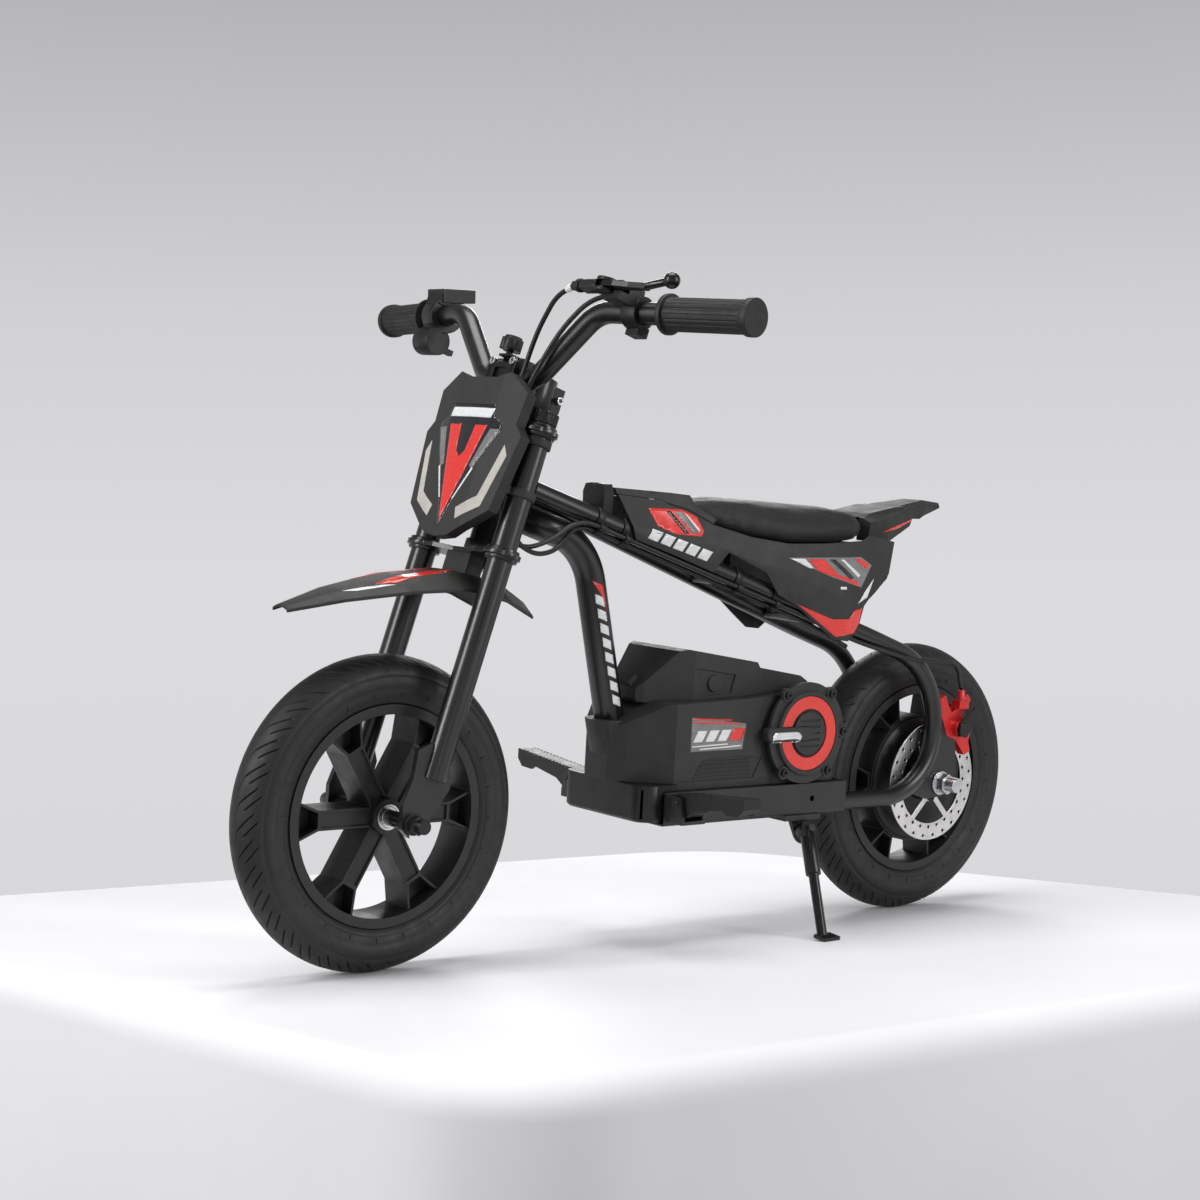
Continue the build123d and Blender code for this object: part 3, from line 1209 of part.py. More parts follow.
def switch_wire_front():
    """Brake switch lead from the perch down to the head."""
    u, v, s = LEVER_PIVOT
    route = [(u - 14, v - 4.9, s - 2), (u - 13, v - 38, s - 10), (53, 84, 228), (50, 62, 192),
             (48, 48, 156), (45, 45, 120), (27, 44, 94), (19, 43, 66)]
    return cable("switch_wire_front", [steer_point(*p) for p in route])


# ---- assembly ----
def bodies():
    """Every node with its solid, still upright."""
    leg = fork_leg(1)
    left_grip = grip()
    left_rail = frame_rail(True)
    right_rail = mirrored(frame_rail(False))
    left_fairing = fairing()
    left_peg = peg()
    cover = engine_cover()
    ring = cover_ring()
    tail = tail_cowl() + tail_hoop()
    return {
        "front_tyre": tyre(AXLE_X),
        "front_rim": front_rim(),
        "front_bearings": front_bearings(),
        "rear_tyre": tyre(-AXLE_X),
        "rear_rim": rear_rim(),
        "hub_motor": hub_motor(),
        "brake_disc": brake_disc(),
        "disc_bolts": disc_bolts(),
        "steerer": steerer(),
        "fork_crowns": Compound([crown(0), crown(CROWN_GAP)]),
        "fork_legs": Compound([leg, mirrored(leg)]),
        "fork_caps": fork_caps(),
        "front_axle": front_axle(),
        "front_nuts": front_nuts(),
        "stem": stem(),
        "stem_faceplate": stem_faceplate() + knob_post(),
        "stem_bolts": stem_bolts(),
        "stem_knob": stem_knob(),
        "handlebar": handlebar(),
        "grips": Compound([left_grip, mirrored(left_grip)]),
        "brake_perch": brake_perch(),
        "brake_lever": brake_lever(),
        "display_housing": display_housing(),
        "display_screen": display_screen(),
        "throttle_lever": throttle_lever(),
        "number_plate": number_plate(),
        "plate_lamps": plate_lamps(),
        "mudguard": mudguard(),
        "brake_cable_front": brake_cable_front(),
        "switch_wire_front": switch_wire_front(),
        "head_tube": head_tube(),
        "down_tube": down_tube(),
        "frame_rail_left": left_rail,
        "frame_rail_right": right_rail,
        "seat_crossbars": seat_crossbars(),
        "chassis": chassis(),
        "nose_bumper": nose_bumper(),
        "body_shell": body_shell(),
        "battery_lid": battery_lid(),
        "engine_covers": Compound([cover, mirrored(cover)]),
        "cover_rings": Compound([ring, mirrored(ring)]),
        "cover_screws": cover_screws(),
        "battery_pack": battery_pack(),
        "seat_pan": seat_pan(),
        "seat_cushion": seat_cushion(),
        "fairing_left": left_fairing,
        "fairing_right": mirrored(left_fairing),
        "tank_cowl": tank_cowl(),
        "cowl_nose": cowl_nose(),
        "tail_cowl": tail,
        "rear_axle": rear_axle(),
        "rear_nuts": rear_nuts(),
        "caliper_body": caliper_body(),
        "caliper_arm": caliper_arm(),
        "brake_cable_rear": brake_cable_rear(),
        "switch_wire_rear": switch_wire_rear(),
        "cable_clips": cable_clips(),
        "peg_left": left_peg,
        "peg_right": mirrored(left_peg),
        "kickstand": kickstand(),
    }


def export():
    """Leans the bike onto its stand and writes one file per node."""
    os.makedirs("parts", exist_ok=True)
    place = Pos(0, FRAME_SHIFT_Y, FRAME_SHIFT_Z) * Rot(-LEAN_DEG, 0, 0)
    for node, shape in bodies().items():
        export_step(place * shape, "parts/" + node + ".step")


export()
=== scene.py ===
"""Children's ride-on electric mini dirt bike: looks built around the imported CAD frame."""
import json
import math

import bmesh
import bpy
import numpy as np
from mathutils import Matrix, Vector, geometry
from mathutils.bvhtree import BVHTree

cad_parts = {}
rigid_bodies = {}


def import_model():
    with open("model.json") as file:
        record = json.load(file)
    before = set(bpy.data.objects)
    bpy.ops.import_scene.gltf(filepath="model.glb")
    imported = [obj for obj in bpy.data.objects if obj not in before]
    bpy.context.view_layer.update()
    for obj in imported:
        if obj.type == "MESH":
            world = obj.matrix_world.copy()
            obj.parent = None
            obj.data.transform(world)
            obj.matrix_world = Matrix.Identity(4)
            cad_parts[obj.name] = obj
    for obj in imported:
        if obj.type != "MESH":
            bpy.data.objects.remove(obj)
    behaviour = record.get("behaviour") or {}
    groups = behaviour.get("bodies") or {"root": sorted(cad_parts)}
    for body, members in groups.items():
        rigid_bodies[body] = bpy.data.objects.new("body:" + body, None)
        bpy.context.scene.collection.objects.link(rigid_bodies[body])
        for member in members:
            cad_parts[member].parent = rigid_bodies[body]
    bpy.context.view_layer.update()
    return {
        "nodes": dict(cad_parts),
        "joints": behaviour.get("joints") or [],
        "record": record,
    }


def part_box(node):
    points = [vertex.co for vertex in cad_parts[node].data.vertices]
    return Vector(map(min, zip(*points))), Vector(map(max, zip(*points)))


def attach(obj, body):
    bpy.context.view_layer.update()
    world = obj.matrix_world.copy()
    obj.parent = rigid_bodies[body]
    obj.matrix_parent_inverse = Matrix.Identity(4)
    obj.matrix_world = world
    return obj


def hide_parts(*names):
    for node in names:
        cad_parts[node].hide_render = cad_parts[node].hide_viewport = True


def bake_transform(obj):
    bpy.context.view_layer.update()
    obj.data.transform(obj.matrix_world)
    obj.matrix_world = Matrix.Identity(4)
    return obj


for leftover in list(bpy.data.objects):
    bpy.data.objects.remove(leftover)

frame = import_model()
NODES = frame["nodes"]
JOINT = {j["name"]: j for j in frame["joints"]}
SCENE = bpy.context.scene

MM = 0.001
LEAN = math.radians(5.0)
RAKE = math.radians(17.5)
TURN = Matrix.Rotation(-LEAN, 3, "X")
ORIGIN = Vector(JOINT["front_wheel_spin"]["pos_m"]) - TURN @ Vector((0.376, 0.0, 0.1585))
UP_MM = 411.3        # height of the steering origin on the upright bike
HEAD_MM = 256.7      # its distance ahead of the bike's middle
AXLE_X = 376.0       # each wheel centre ahead of or behind the middle
CROWN_R = 158.5      # tyre radius at the tread, and wheel centre height
WELD = 0.000002      # the loaded nodes have split vertices, closer than this
EDGE_BEVEL = 0.0005


def bike(x, y, z):
    """Row-frame point of a point on the upright bike, in millimetres."""
    return ORIGIN + TURN @ (Vector((x, y, z)) * MM)


def steer(u, v, s):
    """Row-frame point of a point in steering coordinates, in millimetres."""
    x = HEAD_MM + u * math.cos(RAKE) - s * math.sin(RAKE)
    z = UP_MM + u * math.sin(RAKE) + s * math.cos(RAKE)
    return bike(x, v, z)


# ---------------------------------------------------------------- camera
CAM_AT = Vector((1.62297, 1.84218, 0.37345))
CAM_DIR = Vector((-0.6312, -0.7756, -0.0023))
camera_data = bpy.data.cameras.new("camera")
camera_data.lens = 68.37
camera_data.sensor_width = 36.0
camera_data.clip_end = 50.0
camera = bpy.data.objects.new("camera", camera_data)
camera.location = CAM_AT
camera.rotation_euler = CAM_DIR.to_track_quat("-Z", "Y").to_euler()
SCENE.collection.objects.link(camera)
SCENE.camera = camera
SCENE.view_settings.view_transform = "Standard"


# ---------------------------------------------------------------- materials
class Shader:
    """Small helper around one material's node tree."""

    def __init__(self, name):
        self.mat = bpy.data.materials.new(name)
        self.mat.use_nodes = True
        self.tree = self.mat.node_tree
        self.bsdf = self.tree.nodes["Principled BSDF"]
        coord = self.tree.nodes.new("ShaderNodeTexCoord")
        self.coord = coord.outputs["Object"]
        self.normal = None

    def node(self, kind, **values):
        made = self.tree.nodes.new(kind)
        for key, value in values.items():
            if key in made.inputs:
                made.inputs[key].default_value = value
            else:
                setattr(made, key, value)
        return made

    def link(self, a, b):
        self.tree.links.new(a, b)

    def put(self, **values):
        for key, value in values.items():
            self.bsdf.inputs[key.replace("_", " ")].default_value = value

    def stretched(self, scale):
        mapping = self.node("ShaderNodeMapping")
        mapping.inputs["Scale"].default_value = scale
        self.link(self.coord, mapping.inputs["Vector"])
        return mapping.outputs["Vector"]

    def noise(self, scale, detail=3.0, vector=None, rough=0.55):
        made = self.node("ShaderNodeTexNoise", Scale=scale, Detail=detail, Roughness=rough)
        self.link(vector or self.coord, made.inputs["Vector"])
        return made.outputs["Fac"]

    def cells(self, scale, feature="F1", vector=None):
        made = self.node("ShaderNodeTexVoronoi", Scale=scale)
        made.feature = feature
        self.link(vector or self.coord, made.inputs["Vector"])
        return made.outputs["Distance"]

    def ramp(self, source, stops):
        made = self.node("ShaderNodeValToRGB")
        elements = made.color_ramp.elements
        while len(elements) < len(stops):
            elements.new(0.5)
        for element, (at, colour) in zip(elements, stops):
            element.position = at
            element.color = (*colour, 1.0)
        self.link(source, made.inputs["Fac"])
        return made.outputs["Color"]

    def span(self, source, low, high, a=0.3, b=0.7):
        made = self.node("ShaderNodeMapRange")
        made.inputs["From Min"].default_value = a
        made.inputs["From Max"].default_value = b
        made.inputs["To Min"].default_value = low
        made.inputs["To Max"].default_value = high
        self.link(source, made.inputs["Value"])
        return made.outputs["Result"]

    def math(self, kind, a, b=None, value=0.5):
        made = self.node("ShaderNodeMath", operation=kind)
        self.link(a, made.inputs[0])
        if b is None:
            made.inputs[1].default_value = value
        else:
            self.link(b, made.inputs[1])
        return made.outputs[0]

    def bump(self, height, distance, strength=1.0):
        made = self.node("ShaderNodeBump", Distance=distance, Strength=strength)
        self.link(height, made.inputs["Height"])
        if self.normal is not None:
            self.link(self.normal, made.inputs["Normal"])
        self.normal = made.outputs["Normal"]
        self.link(self.normal, self.bsdf.inputs["Normal"])

    def colour(self, source):
        self.link(source, self.bsdf.inputs["Base Color"])

    def rough(self, source):
        self.link(source, self.bsdf.inputs["Roughness"])


def scaled(colour, k):
    return tuple(min(1.0, c * k) for c in colour)


def plastic(name, colour, low=0.38, high=0.5, grain=900.0, depth=0.00006, coat=0.0, mottling=0.14):
    """Moulded plastic: fine spark-eroded grain, cloudy sheen and a little tone change."""
    s = Shader(name)
    tones = [(0.3, scaled(colour, 1 - mottling)), (0.7, scaled(colour, 1 + mottling))]
    s.colour(s.ramp(s.noise(38.0, 4.0), tones))
    s.rough(s.span(s.noise(60.0, 5.0), low, high))
    s.bump(s.cells(grain), depth, 0.55)
    s.bump(s.noise(grain * 0.35, 2.0), depth, 0.35)
    s.put(Coat_Weight=coat, Coat_Roughness=0.25, Specular_IOR_Level=0.42)
    return s.mat


def paint(name, colour, low=0.28, high=0.4, orange_peel=0.00005, metallic=0.0, coat=0.25):
    """Sprayed or powder-coated metal: orange peel, a little tone change and faint rub marks."""
    s = Shader(name)
    s.colour(s.ramp(s.noise(24.0, 5.0), [(0.25, scaled(colour, 0.82)), (0.75, scaled(colour, 1.2))]))
    rub = s.noise(420.0, 2.0, s.stretched((0.12, 1.0, 1.0)))
    worn = s.math("ADD", s.math("MULTIPLY", rub, value=0.4), s.noise(30.0, 4.0))
    s.rough(s.span(worn, low, high, 0.4, 1.0))
    s.bump(s.noise(520.0, 2.0), orange_peel, 0.5)
    s.put(Metallic=metallic, Coat_Weight=coat, Coat_Roughness=0.22)
    return s.mat


def rubber(name, colour, low=0.55, high=0.72, grain=1500.0, depth=0.00008):
    """Moulded rubber with a dry bloom."""
    s = Shader(name)
    bloom = s.noise(22.0, 6.0, rough=0.65)
    s.colour(s.ramp(bloom, [(0.3, scaled(colour, 0.8)), (0.62, colour), (0.85, scaled(colour, 1.5))]))
    s.rough(s.span(s.noise(90.0, 4.0), low, high))
    s.bump(s.noise(grain, 3.0), depth, 0.5)
    return s.mat


def metal(name, colour, low=0.2, high=0.38, brush=(1.0, 1.0, 1.0), scale=600.0, depth=0.00003):
    """Bare or plated metal with brush or plating marks."""
    s = Shader(name)
    lines = s.noise(scale, 3.0, s.stretched(brush))
    s.colour(s.ramp(s.noise(45.0, 4.0), [(0.3, scaled(colour, 0.85)), (0.7, scaled(colour, 1.08))]))
    s.rough(s.span(lines, low, high))
    s.bump(lines, depth, 0.4)
    s.put(Metallic=1.0)
    return s.mat


def vinyl(name, colour):
    """Grained seat vinyl: pebble cells with creases between them and a soft sheen."""
    s = Shader(name)
    pebbles = s.cells(420.0, "SMOOTH_F1")
    creases = s.cells(420.0, "DISTANCE_TO_EDGE")
    s.colour(s.ramp(s.noise(26.0, 4.0), [(0.3, scaled(colour, 0.85)), (0.7, scaled(colour, 1.2))]))
    s.rough(s.span(s.noise(70.0, 3.0), 0.44, 0.56))
    s.bump(s.span(creases, 0.0, 1.0, 0.0, 0.16), 0.00022, 0.7)
    s.bump(pebbles, 0.00012, 0.35)
    s.put(Specular_IOR_Level=0.4, Sheen_Weight=0.03)
    return s.mat


def sticker(name, colour, streak=0.12, low=0.16, high=0.28):
    """Printed vinyl sticker: faint print streaks, tiny bubbles and a gloss film."""
    s = Shader(name)
    streaks = s.noise(260.0, 2.0, s.stretched((0.25, 1.0, 1.6)))
    s.colour(s.ramp(streaks, [(0.35, scaled(colour, 1 - streak)), (0.7, scaled(colour, 1 + streak * 0.5))]))
    s.rough(s.span(s.noise(80.0, 3.0), low, high))
    s.bump(s.noise(300.0, 2.0), 0.00003, 0.35)
    s.put(Coat_Weight=0.5, Coat_Roughness=0.12)
    return s.mat


M = {
    "frame_paint": paint("satin_black_tube", (0.006, 0.006, 0.0065), 0.3, 0.42),
    "fork_paint": paint("satin_black_fork", (0.006, 0.006, 0.0065), 0.26, 0.38),
    "chassis_paint": paint("powder_black_sheet", (0.014, 0.014, 0.014), 0.42, 0.55, 0.0001, coat=0.0),
    "red_metal": paint("red_anodised", (0.62, 0.02, 0.018), 0.25, 0.4, metallic=0.35),
    "zinc": metal("zinc_plate", (0.62, 0.63, 0.64), 0.2, 0.36, scale=900.0),
    "black_steel": paint("black_oxide", (0.008, 0.008, 0.0085), 0.24, 0.38, metallic=0.4),
    "disc_steel": metal("ground_disc", (0.72, 0.71, 0.69), 0.24, 0.4, (1.0, 0.2, 1.0), 1100.0),
    "motor_case": paint("cast_black_motor", (0.007, 0.007, 0.0075), 0.4, 0.55, 0.00012, coat=0.0),
    "wheel_plastic": plastic("moulded_wheel", (0.013, 0.013, 0.013), 0.4, 0.55, 1100.0, 0.0001),
    "body_plastic": plastic("charcoal_panel", (0.023, 0.0225, 0.021), 0.5, 0.64, 1300.0, 0.00009),
    "dark_plastic": plastic("black_moulding", (0.007, 0.007, 0.0072), 0.38, 0.52, 1000.0, 0.00006),
    "red_plastic": plastic("red_trim", (0.72, 0.045, 0.032), 0.26, 0.36, 900.0, 0.00003, coat=0.3,
                           mottling=0.06),
    "lamp_clear": plastic("frosted_lens", (0.52, 0.50, 0.46), 0.18, 0.32, 500.0, 0.00015, coat=0.5),
    "screen_glass": plastic("display_window", (0.006, 0.0065, 0.008), 0.08, 0.14, 300.0, 0.00001, coat=0.8),
    "tyre_rubber": rubber("tyre", (0.009, 0.009, 0.009), 0.5, 0.66),
    "grip_rubber": rubber("grip", (0.01, 0.01, 0.01), 0.5, 0.66, 1800.0),
    "cable_jacket": rubber("cable_jacket", (0.006, 0.006, 0.006), 0.35, 0.5, 1200.0, 0.00004),
    "seat_vinyl": vinyl("seat_vinyl", (0.008, 0.008, 0.008)),
    "battery_wrap": plastic("battery_wrap", (0.03, 0.045, 0.07), 0.3, 0.45, 700.0),
}
RED = sticker("decal_red", (0.76, 0.035, 0.025), 0.1)
# WHITE is white print, and also the painted highlights plate_glint and guard_glint.
WHITE = sticker("decal_white", (0.78, 0.8, 0.8), 0.08)
GREY = sticker("decal_grey", (0.2, 0.2, 0.2), 0.2)
BLACK = sticker("decal_black", (0.012, 0.012, 0.014), 0.2)
SILVER = metal("brushed_silver", (0.8, 0.81, 0.82), 0.3, 0.45, (0.15, 1.0, 1.0), 700.0)

# ---------------------------------------------------------------- carried-over CAD pieces
UNBEVELLED = {
    "frame_rail_left", "frame_rail_right", "down_tube", "handlebar", "fork_legs",
    "brake_cable_front", "switch_wire_front", "brake_cable_rear", "switch_wire_rear",
}
SLOT = {p["node"]: p["material_slot"] for p in frame["record"]["subparts"]}


def dress(name):
    """Gives one CAD node its material and rounds its edges a little."""
    obj = NODES[name]
    obj.data.materials.clear()
    obj.data.materials.append(M[SLOT[name]])
    weld = obj.modifiers.new("weld", "WELD")
    weld.merge_threshold = WELD
    if name not in UNBEVELLED:
        bevel = obj.modifiers.new("edges", "BEVEL")
        bevel.width = EDGE_BEVEL
        bevel.segments = 2
        bevel.limit_method = "ANGLE"
        bevel.angle_limit = math.radians(35.0)
        bevel.use_clamp_overlap = False
        bevel.harden_normals = True


for node_name in NODES:
    dress(node_name)


def piece(name, verts, faces, material, body, smooth=True):
    """New mesh piece from row-frame vertices, riding on a body."""
    mesh = bpy.data.meshes.new(name)
    mesh.from_pydata([tuple(v) for v in verts], [], [tuple(f) for f in faces])
    mesh.materials.append(material)
    for poly in mesh.polygons:
        poly.use_smooth = smooth
    mesh.update()
    obj = bpy.data.objects.new(name, mesh)
    SCENE.collection.objects.link(obj)
    if body:
        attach(obj, body)
    return obj


# ---------------------------------------------------------------- tyres
TREAD_PITCHES = 38
GROOVE_DEPTH = 2.6
RING_GROOVES = [(141.0, 0.9, 1.6), (126.0, 0.5, 1.2), (117.0, 0.6, 1.3)]  # radius, depth, half width


def catmull(points, steps):
    """Smooth chain of points through the given ones."""
    pts = [Vector(p) for p in points]
    pts = [pts[0] * 2 - pts[1]] + pts + [pts[-1] * 2 - pts[-2]]
    out = []
    for i in range(1, len(pts) - 2):
        a, b, c, d = pts[i - 1: i + 3]
        for k in range(steps):
            t = k / steps
            out.append(0.5 * ((2 * b) + (c - a) * t + (2 * a - 5 * b + 4 * c - d) * t * t
                              + (3 * b - a - 3 * c + d) * t ** 3))
    out.append(pts[-2])
    return out


def reach_in(value, low, high):
    """How far inside a span a value lies."""
    return max(0.0, min(value - low, high - value))


def profile_normal(profile, j):
    """Outward unit normal of the tyre profile at point j."""
    a = profile[max(0, j - 1)]
    b = profile[min(len(profile) - 1, j + 1)]
    dw, dr = b[0] - a[0], b[1] - a[1]
    size = math.hypot(dw, dr)
    return (dr / size, -dw / size) if size else (0.0, 1.0)


def tyre(name, node, centre_x, body):
    """Pneumatic tyre with a sheared grid, so that its herringbone grooves have crisp walls."""
    half = [(111.4, 22.4), (116, 25.6), (121, 27.4), (128, 28.4), (135, 28.3), (141, 26.8), (147, 23.6),
            (152, 18.6), (156, 11.2), (158.0, 5.2), (158.5, 0.0)]
    arc = catmull([(w, r, 0) for r, w in half], 5)
    side = [(p.x, p.y) for p in arc]
    profile = side + [(-w, r) for w, r in reversed(side[:-1])]
    run = [0.0]
    for a, b in zip(profile, profile[1:]):
        run.append(run[-1] + math.hypot(b[0] - a[0], b[1] - a[1]))
    across = [s - run[len(run) // 2] for s in run]
    pitch = 2 * math.pi / TREAD_PITCHES
    mm = 1.0 / CROWN_R
    marks = [-1.9, -1.35, -0.8, 0.8, 1.35, 1.9]
    fill = [0.2, 0.3]
    columns = []
    for i in range(TREAD_PITCHES):
        for centre, kind in ((0.0, "long"), (0.5, "short")):
            for mark in marks:
                columns.append(((i + centre) * pitch + mark * mm, kind, abs(mark) <= 1.0))
            for part in fill:
                columns.append(((i + centre + part) * pitch, kind, False))
    inner = [(-19, 111.4), (-23.5, 121), (-24, 133), (-18, 146), (-8, 152.5),
             (8, 152.5), (18, 146), (24, 133), (23.5, 121), (19, 111.4)]
    verts = []
    rows = len(profile) + len(inner)
    for angle, kind, deep in columns:
        for j, (w, r) in enumerate(profile):
            s = across[j]
            reach = min(abs(s), 30.0)
            stagger = (0.5 * pitch if s < 0 else 0.0) * min(1.0, abs(s) / 6.0)
            turned = angle + (reach * 1.05 * mm) + stagger
            depth = 0.0
            if deep:
                low, high = (1.5, 24.0) if kind == "long" else (13.0, 29.0)
                depth = GROOVE_DEPTH * min(reach_in(abs(s), low, high) / 2.0, 1.0)
            if 128 < r < 139 and abs(w) > 20:
                depth -= 0.7 * math.sin((r - 128) / 11 * math.pi) ** 0.5
            for ring_r, ring_depth, ring_half in RING_GROOVES:
                if abs(w) > 20 and abs(r - ring_r) < ring_half:
                    depth += ring_depth * (1 - abs(r - ring_r) / ring_half)
            normal = profile_normal(profile, j)
            verts.append((turned, w - normal[0] * depth, r - normal[1] * depth))
        for w, r in inner:
            verts.append((angle, w, r))
    points = []
    for angle, w, r in verts:
        points.append(bike(centre_x + r * math.cos(angle), w, CROWN_R + r * math.sin(angle)))
    count = len(columns)
    faces = []
    for i in range(count):
        n = (i + 1) % count
        for j in range(rows):
            k = (j + 1) % rows
            faces.append((i * rows + j, n * rows + j, n * rows + k, i * rows + k))
    obj = piece(name, points, faces, M["tyre_rubber"], body)
    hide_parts(node)


def nubs(name, centre_x, body, count=24):
    """Small raised dashes round both sidewalls of a tyre."""
    verts = []
    faces = []
    for side in (-1, 1):
        for k in range(count):
            angle = 2 * math.pi * (k + 0.25) / count
            base = len(verts)
            for w, grow in ((26.2, 1.0), (28.3, 0.55)):
                for r, half in ((119.4, 0.5), (120.2, 0.9), (124.2, 0.9), (125.0, 0.5)):
                    for turn in (-1, 1):
                        a = angle + turn * half * grow / 122.0
                        rr = 122.2 + (r - 122.2) * (0.6 + 0.4 * grow)
                        verts.append(bike(centre_x + rr * math.cos(a), side * w, CROWN_R + rr * math.sin(a)))
            ring = [0, 2, 4, 6, 7, 5, 3, 1]
            for m in range(8):
                n = (m + 1) % 8
                face = (base + ring[m], base + ring[n], base + 8 + ring[n], base + 8 + ring[m])
                faces.append(face[::-1] if side > 0 else face)
            top = tuple(base + 8 + i for i in ring)
            under = tuple(base + i for i in ring)
            faces.append(top[::-1] if side > 0 else top)
            faces.append(under if side > 0 else under[::-1])
    piece(name, verts, faces, M["tyre_rubber"], body, smooth=False)


tyre("front_tyre_tread", "front_tyre", AXLE_X, "front_wheel")
tyre("rear_tyre_tread", "rear_tyre", -AXLE_X, "rear_wheel")
nubs("front_tyre_nubs", AXLE_X, "front_wheel")
nubs("rear_tyre_nubs", -AXLE_X, "rear_wheel")


# ---------------------------------------------------------------- seat cushion
CUSHION_VOXEL = 0.0045
CUSHION_PUFF = 0.006      # furthest the pressure may push a point
CLOTH_FRAMES = 20


def bake(obj):
    """Applies every modifier of an object to its mesh."""
    bpy.context.view_layer.update()
    evaluated = obj.evaluated_get(bpy.context.evaluated_depsgraph_get())
    mesh = bpy.data.meshes.new_from_object(evaluated)
    obj.modifiers.clear()
    obj.data = mesh


def cushion():
    """Seat cushion: the CAD solid shrunk a little, blown up by cloth pressure, then subdivided."""
    source = NODES["seat_cushion"]
    obj = bpy.data.objects.new("seat_pad", source.data.copy())
    SCENE.collection.objects.link(obj)
    low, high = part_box("seat_cushion")
    middle = (low + high) / 2
    for v in obj.data.vertices:
        v.co = Vector((middle.x + (v.co.x - middle.x) * 0.99, middle.y + (v.co.y - middle.y) * 0.97,
                       low.z + (v.co.z - low.z) * 0.97 - 0.001))
    remesh = obj.modifiers.new("remesh", "REMESH")
    remesh.mode = "VOXEL"
    remesh.voxel_size = CUSHION_VOXEL
    bake(obj)
    smooth = obj.modifiers.new("smooth", "SMOOTH")
    smooth.factor = 0.5
    smooth.iterations = 6
    bake(obj)
    start = np.array([v.co[:] for v in obj.data.vertices])
    group = obj.vertex_groups.new(name="held")
    held = [v.index for v in obj.data.vertices if v.normal.z < -0.5]
    group.add(held, 1.0, "REPLACE")
    cloth = obj.modifiers.new("cloth", "CLOTH")
    cloth.settings.vertex_group_mass = "held"
    cloth.settings.use_pressure = True
    cloth.settings.uniform_pressure_force = 4.0
    cloth.settings.effector_weights.gravity = 0.0
    cloth.settings.mass = 0.3
    cloth.settings.tension_stiffness = 15.0
    cloth.settings.bending_stiffness = 0.5
    cloth.point_cache.frame_start = 1
    cloth.point_cache.frame_end = CLOTH_FRAMES
    for number in range(1, CLOTH_FRAMES + 1):
        SCENE.frame_set(number)
    evaluated = obj.evaluated_get(bpy.context.evaluated_depsgraph_get())
    moved = np.array([v.co[:] for v in evaluated.data.vertices])
    SCENE.frame_set(1)
    obj.modifiers.clear()
    step = moved - start
    length = np.linalg.norm(step, axis=1)
    step *= np.minimum(1.0, CUSHION_PUFF / np.maximum(length, 1e-9))[:, None]
    for v, co in zip(obj.data.vertices, start + step):
        v.co = co
    obj.modifiers.new("fine", "SUBSURF").levels = 1
    bake(obj)
    obj.data.materials.clear()
    obj.data.materials.append(M["seat_vinyl"])
    for poly in obj.data.polygons:
        poly.use_smooth = True
    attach(obj, "frame")
    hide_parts("seat_cushion")


cushion()


# ---------------------------------------------------------------- decals
def target_tree(names):
    """Search tree over the faces of some CAD nodes or pieces."""
    verts = []
    faces = []
    for name in names:
        mesh = (NODES.get(name) or bpy.data.objects[name]).data
        base = len(verts)
        verts += [v.co.copy() for v in mesh.vertices]
        faces += [[base + i for i in p.vertices] for p in mesh.polygons]
    return BVHTree.FromPolygons(verts, faces)


TREES = {}
BRIDGE = 0.012      # a longer side means that a decal triangle spans a step
RAY_START = 200.0   # millimetres outside the bike


def steady(corners):
    """False for a triangle that would bridge two surfaces at different depths."""
    return max((a - b).length for a in corners for b in corners) < BRIDGE


def inside(p, outline):
    """True where a point lies inside an outline."""
    x, y = p
    found = False
    for (ax, ay), (bx, by) in zip(outline, outline[1:] + outline[:1]):
        if (ay > y) != (by > y) and x < (bx - ax) * (y - ay) / (by - ay) + ax:
            found = not found
    return found


